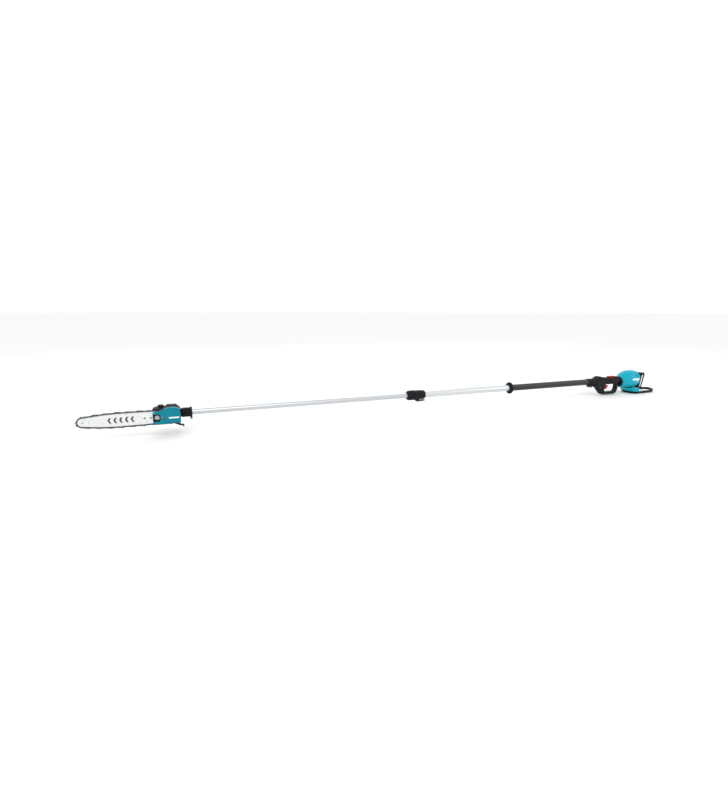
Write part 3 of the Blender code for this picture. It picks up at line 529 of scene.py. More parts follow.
def bar_half_height(x):
    """Round nose, swelling to the belly, a little narrower at the tail."""
    s = x - BAR_LOW.x
    if s < BAR_NOSE * 0.75:
        return math.sqrt(max(0.0, BAR_NOSE ** 2 - (BAR_NOSE - s) ** 2))
    start = math.sqrt(BAR_NOSE ** 2 - (BAR_NOSE * 0.25) ** 2)
    belly = (BAR_HIGH.z - BAR_LOW.z) / 2
    swell = min(1.0, (s - BAR_NOSE * 0.75) / 125.0)
    tail = max(0.0, (s - 150.0) / 150.0)
    return start + (belly - start) * math.sin(swell * math.pi / 2) - 2.2 * tail ** 2


def bar_outline(grow=0.0):
    """The bar's edge with a fine nose, moved outwards by grow."""
    nose = [BAR_LOW.x + BAR_NOSE * 0.75 * (1 - math.cos(math.pi / 2 * i / 14)) for i in range(15)]
    rest = [BAR_LOW.x + BAR_NOSE * 0.75 + 6.0 * i for i in range(1, 46)]
    upper = [(x, bar_half_height(x)) for x in nose + rest + [BAR_HIGH.x]]
    loop = [(x, h) for x, h in reversed(upper)] + [(x, -h) for x, h in upper[1:]]
    points = []
    for i, (x, z) in enumerate(loop):
        ahead = loop[(i + 1) % len(loop)]
        behind = loop[i - 1]
        normal = Vector((ahead[1] - behind[1], -(ahead[0] - behind[0]))).normalized()
        if i == 0 or i == len(loop) - 1:
            normal = Vector((0.0, math.copysign(1.0, z)))
        points.append((x + normal.x * grow, BAR_Z + z + normal.y * grow))
    return points


def convex_hull(points):
    """The outline of a band stretched round the points."""
    points = sorted(set((round(x, 4), round(z, 4)) for x, z in points))

    def half(sequence):
        out = []
        for p in sequence:
            while len(out) > 1 and ((out[-1][0] - out[-2][0]) * (p[1] - out[-2][1])
                                    - (out[-1][1] - out[-2][1]) * (p[0] - out[-2][0])) <= 1e-9:
                out.pop()
            out.append(p)
        return out[:-1]
    return half(points) + half(reversed(points))


def chain_path(grow):
    """Closed run of the rivets round bar and drive sprocket."""
    return convex_hull(bar_outline(grow) + circle(SPROCKET_X, 0.0, SPROCKET_R + 0.5 + grow, 48))


def even_points(loop, step):
    """Points about a step apart along a closed loop, an even count of them, with their directions."""
    sides = [(Vector(a), Vector(b)) for a, b in zip(loop, loop[1:] + loop[:1])]
    total = sum((b - a).length for a, b in sides)
    count = int(round(total / step / 4)) * 4
    spots = []
    for k in range(count):
        want = total * k / count
        for a, b in sides:
            length = (b - a).length
            if want <= length:
                spots.append(a + (b - a) * (want / length))
                break
            want -= length
        else:
            spots.append(sides[-1][1])
    return spots


def link_plate(first, second, outline, y_low, y_high):
    """A flat link between two rivets. The outline is (share along, height outwards) in the link's own frame."""
    along = (second - first)
    length = along.length
    along.normalize()
    outwards = Vector((along.y, -along.x))
    points = [tuple(first + along * (u * length) + outwards * v) for u, v in outline]
    return prism(points, y_low, y_high)


def build_chain(sizes):
    """Straps, drive links and rivets all the way round, and a cutter at every fourth link, left and right in turn."""
    rivets = even_points(chain_path(RIVET_OUT), sizes.chain_pitch)
    count = len(rivets)
    strap = [(-0.36, -1.4), (-0.2, -2.6), (0.2, -2.6), (0.5, -1.7), (0.8, -2.6), (1.2, -2.6), (1.36, -1.4),
             (1.36, 1.2), (1.2, 2.0), (0.8, 2.3), (0.5, 1.6), (0.2, 2.3), (-0.2, 2.0), (-0.36, 1.2)]
    drive = [(-0.3, -1.8), (0.2, -2.4), (0.38, -5.6), (0.62, -5.6), (0.8, -2.4), (1.3, -1.8), (1.3, 1.8),
             (0.9, 2.6), (0.5, 1.8), (0.1, 2.6), (-0.3, 1.8)]
    cutter = [(-0.4, -1.4), (-0.2, -2.6), (1.2, -2.6), (1.4, -1.4), (1.45, 4.5), (0.66, 4.9), (0.58, 2.8),
              (0.3, 2.4), (0.18, 4.5), (-0.26, 4.5), (-0.4, 2.4)]
    short_drive = [(u, max(v, -2.6)) for u, v in drive]    # clears the sprocket, which turns while the chain doesn't
    top = [(0.74, 3.8), (1.4, 3.5), (1.4, 4.5), (0.72, 4.8)]
    plates = []
    cutters = []
    pins = []
    for i in range(count):
        here = rivets[i]
        following = rivets[(i + 1) % count]
        pins.append(rod(BAR_Y - 2.75, BAR_Y + 2.75, 1.35, "Y", (here.x, 0.0, here.y), 10))
        if i % 2:
            link = short_drive if here.x >= SPROCKET_X - 12.0 else drive
            plates.append(link_plate(here, following, link, BAR_Y - 0.6, BAR_Y + 0.6))
            continue
        side = 1 if (i // 4) % 2 else -1
        for face in (-1, 1):
            low, high = sorted((BAR_Y + face * 0.85, BAR_Y + face * 2.35))
            if i % 4 == 0 and face == side:
                cutters.append(link_plate(here, following, cutter, low, high))
                low, high = sorted((BAR_Y - face * 1.0, BAR_Y + face * 2.6))
                cutters.append(link_plate(here, following, top, low, high))
            else:
                plates.append(link_plate(here, following, strap, low, high))
    piece("chain_links", gathered(plates), "chain_steel", "inner_pole", ("saw_chain",))
    piece("chain_cutters", gathered(cutters), "cutter_steel", "inner_pole", ())
    piece("chain_rivets", gathered(pins), "zinc_steel", "inner_pole", ())


def chevron(x, reach, weight):
    """One plain arrowhead bar in the bar's plane."""
    tip = x - reach * 0.55
    return [(tip, BAR_Z), (x, BAR_Z + reach), (x + weight, BAR_Z + reach), (tip + weight, BAR_Z),
            (x + weight, BAR_Z - reach), (x, BAR_Z - reach)]


def build_bar():
    """Guide bar with its groove, slot and holes, the printed marks and the nose rivets."""
    outer = bar_outline()
    pocket_x = BAR_LOW.x + 2 * BAR_NOSE
    core = [(max(x, pocket_x + 0.02 * abs(z - BAR_Z)), z) for x, z in bar_outline(-5.0)]
    core[0] = (core[0][0] - 1.0, core[0][1])
    core[-1] = (core[-1][0] - 1.0, core[-1][1])
    rim = bar_outline(-0.5)
    rim[0] = (rim[0][0] - 0.5, rim[0][1])
    rim[-1] = (rim[-1][0] - 0.5, rim[-1][1])
    layers = [(rim, -BAR_HALF), (outer, -BAR_HALF + 0.5), (outer, -0.8), (core, -0.8), (core, 0.8), (outer, 0.8),
              (outer, BAR_HALF - 0.5), (rim, BAR_HALF)]
    shape = skinned([[(x, BAR_Y + y, z) for x, z in loop] for loop, y in layers])
    slot = round_outline(rectangle(STUD_X - 17.0, BAR_Z - 4.4, STUD_X + 21.0, BAR_Z + 4.4), 4.4)
    nose_at = (BAR_LOW.x + BAR_NOSE, BAR_Y, BAR_Z)
    tools = [prism(slot, BAR_Y - 6, BAR_Y + 6), rod(-6, 6, 3.3, "Y", nose_at)]
    for x, z in ((-1228.0, 0.0), (-1249.0, 0.0), (-1196.0, 14.0), (-1196.0, -14.0)):
        tools.append(rod(-6, 6, 2.4, "Y", (x, BAR_Y, BAR_Z + z)))
    piece("bar_blade", cut(shape, *tools), "bar_steel", "inner_pole", ("guide_bar",))
    face = BAR_Y - BAR_HALF
    far_face = BAR_Y + BAR_HALF
    marks = []
    for i in range(5):
        arrow = chevron(-1366.0 + 19.0 * i, 10.5, 6.5)
        marks += [prism(arrow, face - 0.12, face + 0.1), prism(arrow, far_face - 0.1, far_face + 0.12)]
    for x in (-1228.0, -1249.0):
        marks.append(tube(face - 0.15, far_face + 0.15, 1.5, 3.6, "Y", (x, 0.0, BAR_Z), 32, 0.1))
    piece("bar_marks", gathered(marks), "dark_ink", "inner_pole", ())
    spots = []
    for i in range(4):
        angle = math.radians(-60 + 40 * i)
        x = nose_at[0] + 21.0 * math.cos(angle)
        z = BAR_Z + 11.0 * math.sin(angle)
        spots.append(rod(-BAR_HALF - 0.25, BAR_HALF + 0.25, 1.5, "Y", (x, BAR_Y, z), 20, 0.2))
    spots.append(rod(-BAR_HALF - 0.3, BAR_HALF + 0.3, 3.1, "Y", nose_at, 24, 0.4))
    piece("bar_nose_rivets", gathered(spots), "zinc_steel", "inner_pole", ("nose_rivet",))


# ---- saw head ------------------------------------------------------------------------------------
CASE_LOW, CASE_HIGH = node_box("gear_case")
COVER_LOW, COVER_HIGH = node_box("sprocket_cover")
TANK_LOW, TANK_HIGH = node_box("oil_tank")
CAP_LOW, CAP_HIGH = node_box("oil_cap")
COUPLING_LOW, COUPLING_HIGH = node_box("head_coupling")


def head_outline():
    """Side view of the gear case, with its step up to the oil tank."""
    corners = [(CASE_LOW.x, -30.0), (CASE_LOW.x, 21.0), (-1214.0, 26.8), (-1180.0, 27.2), (-1172.0, 31.5),
               (-1140.0, 31.5), (-1126.0, 22.0), (CASE_HIGH.x, 14.0), (CASE_HIGH.x, -20.0), (-1132.0, -31.0),
               (-1160.0, -36.0)]
    return round_outline(corners, 6.0)


CASE_SCREWS = ((-1212.0, -20.0), (-1212.0, 8.0), (-1142.0, -22.0), (-1138.0, 14.0))


def build_gear_case():
    """Cast case with cooling fins and four cap screws on its far side."""
    inner_face = CASE_LOW.y
    case = round_edges(prism(head_outline(), inner_face, CASE_HIGH.y), 4.0, 60.0, 4,
                       lambda e: all(v.co.y > 0 for v in e.verts))
    tools = [prism(chain_path(RIVET_OUT + CHAIN_ROOM), inner_face - 2.0, -17.5),
             block((TANK_LOW.x - 0.6, TANK_LOW.y - 0.4, 19.0), (TANK_HIGH.x + 0.6, TANK_HIGH.y + 0.4, 60.0))]
    for x, z in CASE_SCREWS:
        tools.append(rod(CASE_HIGH.y - 3.0, CASE_HIGH.y + 5.0, 4.6, "Y", (x, 0.0, z)))
    case = cut(case, *tools)
    fins = []
    for i in range(6):
        x = -1202.0 + 8.5 * i
        fin = block((x, CASE_HIGH.y - 6.0, -26.0), (x + 3.5, CASE_HIGH.y - 0.2, 14.0))
        fins.append(round_edges(fin, 1.0, 60.0, 2))
    case = cut(case, block((-1205.0, CASE_HIGH.y - 3.0, -27.0), (-1150.0, CASE_HIGH.y + 5.0, 15.0)))
    piece("gear_case_shell", case, "black_nylon", "inner_pole", ("gear_case",), soften=0.7)
    piece("gear_case_fins", gathered(fins), "black_nylon", "inner_pole", ())
    screws = [socket_screw((x, CASE_HIGH.y - 2.6, z), 3.4, 2.2, 1) for x, z in CASE_SCREWS]
    piece("gear_case_screws", gathered(screws), "zinc_steel", "inner_pole", ())


def socket_screw(at, radius, height, side):
    """Cap screw head with a hexagon socket, facing +Y or -Y."""
    start, end = sorted((0.0, side * height))
    head = rod(start, end, radius, "Y", at, 28, 0.3)
    floor = at[1] + side * height * 0.45
    return cut(head, prism(circle(at[0], at[2], radius * 0.5, 6), floor, at[1] + side * (height + 2.0)))


def build_tank():
    """Oil tank with ribs across its hump, and its cap: a fluted knob with a bar across its dished top."""
    outline = round_outline([(TANK_LOW.x, TANK_LOW.z), (TANK_HIGH.x, TANK_LOW.z), (TANK_HIGH.x, 27.0),
                             (-1140.0, 33.4), (-1171.0, 33.8), (-1178.0, 26.8), (TANK_LOW.x, 26.4)], 5.0)
    tank = round_edges(prism(outline, TANK_LOW.y, TANK_HIGH.y), 2.2, 60.0, 3)
    neck_at = ((CAP_LOW.x + CAP_HIGH.x) / 2, (CAP_LOW.y + CAP_HIGH.y) / 2, 0.0)
    top = TANK_HIGH.z - 0.1
    ribs = []
    for i in range(5):
        x = -1171.0 + 7.6 * i
        rib = round_outline([(x, 28.0), (x + 3.4, 28.0), (x + 3.0, top), (x + 0.4, top)], 0.8, 3)
        ribs.append(prism(rib, TANK_LOW.y + 2.0, TANK_HIGH.y - 2.0))
    tank = cut(tank, rod(20.0, 40.0, 6.5, "Z", neck_at))
    piece("oil_tank_shell", tank, "black_nylon", "inner_pole", ("oil_tank",))
    piece("oil_tank_ribs", gathered(ribs), "black_nylon", "inner_pole", ())
    radius = (CAP_HIGH.x - CAP_LOW.x) / 2
    grip = []
    for i in range(96):
        angle = math.tau * i / 96
        wave = radius - 0.55 + 0.55 * math.cos(24 * angle)
        grip.append((neck_at[0] + wave * math.cos(angle), neck_at[1] + wave * math.sin(angle)))
    cap = round_edges(prism(grip, CAP_LOW.z + 4.4, CAP_HIGH.z - 0.2, "Z"), 0.9, 60.0, 3)
    bar = round_edges(block((neck_at[0] - 7.0, neck_at[1] - 1.8, CAP_HIGH.z - 1.2),
                            (neck_at[0] + 7.0, neck_at[1] + 1.8, CAP_HIGH.z)), 0.6, 60.0, 2)
    dish = rod(CAP_HIGH.z - 1.6, CAP_HIGH.z + 2.0, radius - 3.0, "Z", neck_at, 48)
    cap = cut(cap, dish)
    stem = rod(CAP_LOW.z, CAP_LOW.z + 6.0, 5.9, "Z", neck_at, 40)
    piece("oil_cap_knob", joined(cap, bar, stem), "brown_nylon", "oil_cap_body", ("oil_cap",))


def recess_outline(past, inset, radius):
    """The nut's recess, open over the cover's front end: past is where it starts there."""
    start = COVER_LOW.x + past
    end = -1194.5 - inset
    low = -19.5 + inset
    high = 8.5 - inset
    return round_outline(rectangle(start, low, end, high), radius)


def build_cover():
    """Moulded cover with a bulge over the sprocket and a recess round the bar nut."""
    corners = [(COVER_LOW.x, -28.0), (COVER_LOW.x, 13.5), (-1197.0, 18.0), (-1174.0, 30.0), (-1146.0, COVER_HIGH.z),
               (-1126.0, 25.0), (COVER_HIGH.x, 8.0), (COVER_HIGH.x, -30.0), (-1128.0, COVER_LOW.z + 0.2),
               (-1148.0, -27.5), (-1168.0, -32.5), (-1206.0, -32.5)]
    front = COVER_LOW.y
    back = -28.3
    cover = round_edges(prism(round_outline(corners, 5.0), front, back), 3.6, 60.0, 5,
                        lambda e: all(v.co.y < front + 0.1 for v in e.verts))
    pad = block((-1216.0, back - 2.0, -15.0), (-1180.0, BAR_Y - BAR_HALF - 0.3, 3.0))
    recess = recess_outline(-12.0, 0.0, 6.0)
    hollow = round_outline([(-1176.0, -28.0), (-1176.0, 21.0), (-1170.0, 26.0), (-1145.0, 27.5), (-1129.0, 21.0),
                            (-1127.0, 6.0), (-1127.0, -26.0), (-1148.0, -22.5), (-1164.0, -28.0)], 4.0)
    tools = [prism(hollow, front + 3.5, back + 1.0), prism(recess, front - 6.0, front + 9.0),
             rod(*THROUGH_Y, 4.0, "Y", (STUD_X, 0.0, BAR_Z)), rod(*THROUGH_Y, 3.5, "Y", (TENSION_X, 0.0, BAR_Z)),
             rod(front - 5.0, front + 1.6, 5.2, "Y", (TENSION_X, 0.0, BAR_Z))]
    cover = cut(joined(cover, pad), *tools)
    piece("cover_shell", cover, "teal_cover", "inner_pole", ("sprocket_cover",), soften=0.5)
    raised = round_outline([(-1171.0, -24.5), (-1178.5, -4.0), (-1172.0, 18.0), (-1146.0, 27.0), (-1130.0, 20.5),
                            (-1127.5, 6.0), (-1127.5, -27.0), (-1148.0, -22.5)], 7.0)
    bulge = round_edges(prism(raised, front - 2.4, front + 2.0), 1.9, 60.0, 5,
                        lambda e: all(v.co.y < front - 2.0 for v in e.verts))
    piece("cover_bulge", bulge, "teal_cover", "inner_pole", ())
    strip = round_outline(rectangle(-1165.0, -10.2, -1128.5, -4.6), 1.4, 4)
    piece("cover_strip", prism(strip, front - 2.65, front - 2.2), "ink", "inner_pole", ())
    liner = cut(prism(recess_outline(0.4, 0.5, 5.6), -35.25, -34.4),
                rod(*THROUGH_Y, 4.2, "Y", (STUD_X, 0.0, BAR_Z)))
    wall = cut(prism(recess_outline(0.4, 0.1, 6.0), front + 0.5, -34.6),
               prism(recess_outline(-9.0, 1.6, 5.0), front - 3.0, -30.0))
    piece("recess_liner", liner, "black_nylon", "inner_pole", ())
    piece("recess_wall", wall, "black_nylon", "inner_pole", ())
    # Black ring at the bottom of the tension screw's counterbore: painted shade that darkens the hole.
    ring = tube(front + 0.4, front + 1.5, 3.5, 5.0, "Y", (TENSION_X, 0.0, BAR_Z), 40, 0.2)
    piece("tension_hole_painted_shade", ring, "black_nylon", "inner_pole", ())


def build_nut():
    """Flanged hexagon nut on the threaded stud."""
    low, high = node_box("bar_nut")
    centre = ((low.x + high.x) / 2, 0.0, (low.z + high.z) / 2)
    nut = prism(circle(centre[0], centre[2], (high.x - low.x) / 2, 6), low.y, high.y - 1.0)
    nut = combined(nut, turned([(low.y - 0.01, 0.0), (low.y - 0.01, 7.4), (low.y + 1.3, 9.3), (high.y - 1.0, 9.4),
                                (high.y - 0.99, 0.0)], "Y", (centre[0], 0.0, centre[2])), "INTERSECT")
    flange = rod(high.y - 1.2, high.y, 9.2, "Y", (centre[0], 0.0, centre[2]), 40, 0.2)
    nut = cut(joined(nut, flange), rod(*THROUGH_Y, 3.4, "Y", centre))
    piece("bar_nut_hex", nut, "zinc_steel", "inner_pole", ("bar_nut",))
    low, high = node_box("bar_stud")
    thread = [(low.y, 0.0), (low.y, 2.2)]
    for i in range(14):
        thread += [(low.y + 0.5 + i * 1.0, 3.0), (low.y + 1.0 + i * 1.0, 2.55)]
    thread += [(low.y + 15.0, 3.0), (high.y, 3.0), (high.y, 0.0)]
    stud = turned(thread, "Y", centre, 32)
    piece("bar_stud_thread", stud, "zinc_steel", "inner_pole", ("bar_stud",))


def build_coupling():
    """Split and ribbed pipe clamp of the saw head, with its screw."""
    start = COUPLING_LOW.x
    end = COUPLING_HIGH.x
    profile = [(start, 11.8), (start, 15.0), (start + 3.2, 17.4)]
    for rib in range(4):
        x = start + 4.4 + 6.4 * rib
        profile += [(x, 17.4), (x + 0.8, 19.2), (x + 1.6, 19.6), (x + 3.2, 19.6), (x + 4.0, 19.2), (x + 4.8, 17.4)]
    profile += [(end - 9.4, 17.4), (end - 8.6, 20.2), (end - 7.4, 21.0), (end - 2.0, 21.0), (end - 0.4, 20.2),
                (end, 19.2), (end, 11.8)]
    ear = round_edges(block((end - 8.5, -9.0, COUPLING_LOW.z), (end - 0.5, 9.0, -15.0)), 2.2, 60.0, 4)
    body = joined(turned(profile), ear)
    bolt = (end - 4.5, 0.0, -24.0)
    slit = block((start - 2.0, -0.7, -40.0), (end + 2.0, 0.7, -12.5))
    body = cut(body, slit, rod(-20.0, 20.0, 2.4, "Y", bolt))
    piece("coupling_shell", body, "black_nylon", "inner_pole", ("head_coupling",))
    shank = rod(-9.8, 9.8, 2.0, "Y", bolt, 24, 0.3)
    head = socket_screw((bolt[0], -9.2, bolt[2]), 3.4, 3.4, -1)
    piece("coupling_screw", joined(head, shank), "zinc_steel", "inner_pole", ("coupling_bolt",))


def build_hook():
    """Branch hook under the gear case."""
    outline = round_outline([(-1152.0, -36.3), (-1134.0, -33.0), (-1126.0, -42.0), (-1117.0, -43.0),
                             (-1112.5, -48.0), (-1113.5, -54.0), (-1117.5, -53.0), (-1118.5, -48.5),
                             (-1128.0, -48.0), (-1140.0, -42.0)], 3.0, 5)
    hook = round_edges(prism(outline, -13.0, -6.0), 1.6, 50.0, 3)
    piece("branch_hook_arm", hook, "black_nylon", "inner_pole", ("branch_hook",))


# ---- pole ----------------------------------------------------------------------------------------
def radius_of(node):
    """Radius of a round node on the pole's axis."""
    low, high = node_box(node)
    return (high.y - low.y) / 2


def build_pole(sizes):
    """Both tubes, the sleeve and the hand stop."""
    sides = sizes.tube_sides
    low, high = node_box("inner_tube")
    piece("inner_tube_drawn", tube(low.x, high.x, 10.0, radius_of("inner_tube"), sides=sides), "satin_aluminium",
          "inner_pole", ("inner_tube",))
    low, high = node_box("outer_tube")
    piece("outer_tube_drawn", tube(low.x, high.x, 13.5, radius_of("outer_tube"), sides=sides), "bright_aluminium",
          "base", ("outer_tube",))
    low, high = node_box("grip_sleeve")
    piece("grip_sleeve_skin", tube(low.x, high.x, SLEEVE_BORE, radius_of("grip_sleeve"), sides=sides), "sleeve",
          "base", ("grip_sleeve",))
    low, high = node_box("hand_stop")
    rim = radius_of("hand_stop")
    profile = [(low.x, SLEEVE_BORE), (low.x, 19.0)]
    for step in range(13):
        angle = math.pi * step / 12
        profile.append((low.x + 5.0 - 5.0 * math.cos(angle), rim - 4.5 + 4.5 * math.sin(angle)))
    profile += [(low.x + 9.0, 21.0), (low.x + 10.0, 19.2), (high.x - 0.8, 18.4), (high.x, 17.6),
                (high.x, SLEEVE_BORE)]
    piece("hand_stop_ring", turned(profile, sides=96), "black_nylon", "base", ("hand_stop",))


def build_clamp():
    """Ribbed clamp of the telescoping joint, with its lever and pin."""
    low, high = node_box("clamp_body")
    front = low.x
    rear = high.x
    profile = [(front, 11.8), (front, 16.2), (front + 0.8, 17.4), (front + 7.0, 22.2), (front + 8.4, 22.8),
               (front + 40.5, 23.2), (front + 41.6, 22.4), (front + 44.5, 20.6), (front + 48.5, 20.6),
               (front + 50.0, 21.8), (front + 51.0, 22.2), (rear - 7.0, 21.2), (rear - 1.2, 19.2), (rear, 18.0),
               (rear, SLEEVE_BORE), (-66.4, SLEEVE_BORE), (-66.4, 11.8)]
    body = turned(profile, sides=72)
    pivot = (node_middle("clamp_lever_pin").x, 0.0, -27.0)
    for y_low, y_high in ((-12.0, -8.4), (8.4, 12.0)):
        ear = round_outline([(-95.0, -14.0), (-81.0, -14.0), (-83.0, -31.5), (-93.0, -31.5)], 4.5)
        body = joined(body, round_edges(prism(ear, y_low, y_high), 0.6, 60.0, 2))
    tools = [rod(-20.0, 20.0, 2.3, "Y", pivot)]
    for i in range(18):
        groove = block((front + 13.0, -1.1, 22.1), (front + 37.0, 1.1, 26.0))
        groove.transform(Matrix.Rotation(math.tau * (i + 0.5) / 18, 4, "X"))
        tools.append(groove)
    piece("clamp_shell", cut(body, *tools), "black_nylon", "base", ("clamp_body",), smooth=30.0)
    pin = rod(-12.6, 12.6, 2.0, "Y", pivot, 24, 0.4)
    piece("clamp_pin", pin, "zinc_steel", "base", ("clamp_lever_pin",))
    outline = round_outline([(-92.0, -31.0), (-92.0, -23.6), (-84.0, -23.6), (-78.0, -25.2), (-48.0, -24.2),
                             (-46.0, -27.2), (-60.0, -29.6)], 2.6, 5)
    lever = round_edges(prism(outline, -8.0, 8.0), 0.6, 50.0, 3)
    piece("clamp_lever_arm", cut(lever, rod(-20.0, 20.0, 2.3, "Y", pivot)), "black_nylon", "clamp_lever_body",
          ("clamp_lever",))


# ---- D-handle ------------------------------------------------------------------------------------
HANDLE_LOW, HANDLE_HIGH = node_box("handle_left_half")


def grip_outline():
    """Side view of the thick upper body, from the front flange to the neck."""
    corners = [(HANDLE_LOW.x, 17.8), (1044.0, 29.0), (1058.0, 30.0), (1066.0, 19.0), (1104.0, 19.0), (1112.0, 17.8),
               (1164.0, 17.8), (1169.0, 22.4), (1188.0, 22.4), (1202.0, 19.5), (1202.0, -19.0), (1100.0, -19.0),
               (1092.0, -44.0), (1052.0, -44.0), (1040.0, -32.0), (HANDLE_LOW.x, -20.0)]
    return round_outline(corners, 6.0)


def loop_outline():
    """Side view of the thin hand guard under the grip."""
    corners = [(1030.0, -10.0), (HANDLE_HIGH.x, -10.0), (HANDLE_HIGH.x, -30.0), (1201.0, -50.0), (1192.0, -70.0),
               (1183.0, HANDLE_LOW.z), (1090.0, HANDLE_LOW.z), (1074.0, -71.0), (1053.0, -50.0), (1030.0, -24.0)]
    return round_outline(corners, 9.0)


def hand_hole():
    """Side view of the opening for the hand."""
    return round_outline([(1094.0, -19.5), (1189.0, -19.5), (1187.0, -46.0), (1180.0, -62.5), (1098.0, -62.5)], 9.0)


def soft_plate(outline, inner, outer, width):
    """A plate whose outer face has well-rounded edges."""
    plate = prism(outline, min(inner, outer), max(inner, outer))
    return round_edges(plate, width, 50.0, 5, lambda e: all(abs(v.co.y - outer) < 0.01 for v in e.verts))


def build_handle():
    """Two halves that meet in the middle plane, grip pads, screws and their nuts."""
    screws = ((1060.0, -33.0, 17.5), (1195.5, -32.0, 12.0))
    for name, node, side in (("grip_half_left", "handle_left_half", -1),
                             ("grip_half_right", "handle_right_half", 1)):
        grip = soft_plate(grip_outline(), -side * 1.0, side * 17.5, 5.5)
        loop = soft_plate(loop_outline(), -side * 2.0, side * 12.0, 4.5)
        low, high = sorted((side * HALF_GAP, -side * 10.0))
        tools = [block((1000.0, low, -90.0), (1220.0, high, 50.0)),
                 prism(hand_hole(), -30.0, 30.0),
                 rod(1000.0, 1230.0, SLEEVE_BORE, sides=72),
                 block((1087.0, -8.0, -37.0), (1140.0, 8.0, -17.0)),
                 block((1122.0, -9.0, 10.0), (1184.0, 9.0, 40.0)),
                 block((1062.0, -9.5, -46.0), (1084.5, 9.5, -20.0))]
        for x, z, half in screws:
            tools.append(rod(-30.0, 30.0, 2.2, "Y", (x, 0.0, z)))
            tools.append(rod(half - 3.0, 30.0, 4.0, "Y", (x, 0.0, z)))
            tools.append(rod(-30.0, 1.5 - half, 4.0, "Y", (x, 0.0, z)))
        for i in range(4):
            along = Vector((0.72, -0.69))
            start = Vector((1049.0, -38.0)) + Vector((0.69, 0.72)) * (5.0 * i - 1.0)
            end = start + along * (22.0 - 2.0 * i)
            across = Vector((0.69, 0.72)) * 1.7
            groove = round_outline([tuple(start), tuple(end), tuple(end + across), tuple(start + across)], 0.8, 3)
            tools.append(prism(groove, *sorted((side * 11.2, side * 13.0))))
        shell = cut(joined(grip, loop), *tools)
        piece(name, shell, "black_nylon", "base", (node,), soften=0.8)
    pads = []
    for side in (-1, 1):
        outer = side * 17.5
        outline = round_outline([(1108.0, -13.5), (1108.0, 11.5), (1113.0, 13.8), (1184.0, 13.8), (1190.0, 9.0),
                                 (1190.0, -13.5)], 5.0)
        pads.append(round_edges(prism(outline, *sorted((outer - side * 1.0, outer + side * 0.5))), 0.4, 60.0, 2))
        for i in range(9):
            x = 1113.0 + 8.2 * i
            rib = round_outline(rectangle(x, -10.5, x + 3.0, 10.0), 1.4, 4)
            pads.append(round_edges(prism(rib, *sorted((outer + side * 0.4, outer + side * 1.2))), 0.3, 60.0, 2))
    piece("grip_pads", gathered(pads), "black_rubber", "base", ())
    for number, (x, z, half) in enumerate(screws, 1):
        shank = rod(3.5 - half, half - 2.5, 1.9, "Y", (x, 0.0, z), 24)
        screw = joined(socket_screw((x, half - 2.7, z), 3.6, 2.4, 1), shank)
        piece(f"grip_screw_{number}", screw, "zinc_steel", "base", (f"handle_screw_{number}",))
        nut = prism(circle(x, z, 3.7, 6), 1.6 - half, 4.2 - half)
        piece(f"grip_nut_{number}", nut, "zinc_steel", "base", ())


def build_controls():
    """Trigger, lock-off lever, panel with lamps, and power button."""
    pivot = node_middle("trigger_pin") * UPRIGHT_PLANE
    outline = round_outline([(1092.5, -30.0), (1092.5, -19.4), (1103.0, -19.4), (1131.0, -28.0), (1133.0, -33.0),
                             (1123.0, -37.0), (1116.0, -47.5), (1109.0, -47.5), (1102.5, -34.0)], 4.0)
    trigger = round_edges(prism(outline, -7.0, 7.0), 1.8, 50.0, 4)
    trigger = cut(trigger, rod(-20.0, 20.0, 2.3, "Y", pivot))
    piece("trigger_blade", trigger, "red_nylon", "trigger_body", ("trigger",))
    pivot = node_middle("lock_off_pin") * UPRIGHT_PLANE
    outline = round_outline([(1181.5, 17.0), (1182.0, 23.5), (1168.0, 25.5), (1130.0, 25.5), (1125.0, 22.0),
                             (1130.0, 19.2), (1168.0, 17.6)], 2.6)
    lever = round_edges(prism(outline, -8.5, 8.5), 1.3, 50.0, 4)
    tools = [rod(-20.0, 20.0, 1.8, "Y", pivot)]
    for i in range(6):
        tools.append(block((1134.0 + 4.4 * i, -6.0, 24.7), (1135.8 + 4.4 * i, 6.0, 28.0)))
    piece("lock_off_paddle", cut(lever, *tools), "red_nylon", "lock_off_body", ("lock_off_lever",))
    low, high = node_box("control_panel")
    centre = (node_middle("power_button").x, 0.0, 0.0)
    panel = prism(round_outline(rectangle(low.x, low.y, high.x, high.y), 5.0), low.z, high.z, "Z")
    panel = round_edges(panel, 0.6, 60.0, 3)
    tools = [rod(10.0, 30.0, 5.4, "Z", centre)]
    lamp_places = [(low.x + 5.0, -6.0 + 6.0 * i, 0.0) for i in range(3)]
    tools += [rod(high.z - 0.5, 30.0, 1.3, "Z", at, 20) for at in lamp_places]
    piece("control_plate", cut(panel, *tools), "black_rubber", "base", ("control_panel",))
    lamps = [rod(high.z - 0.45, high.z - 0.05, 1.25, "Z", at, 20) for at in lamp_places]
    piece("panel_lamps", gathered(lamps), "lamp", "base", ())
    low, high = node_box("power_button")
    button = rod(low.z, high.z - 0.15, 5.0, "Z", centre, 40, 0.4)
    ring = tube(high.z - 0.3, high.z, 1.9, 2.7, "Z", centre, 40, 0.1)
    piece("power_key", button, "black_rubber", "button_body", ("power_button",))
    piece("power_key_ring", ring, "ink", "button_body", ())


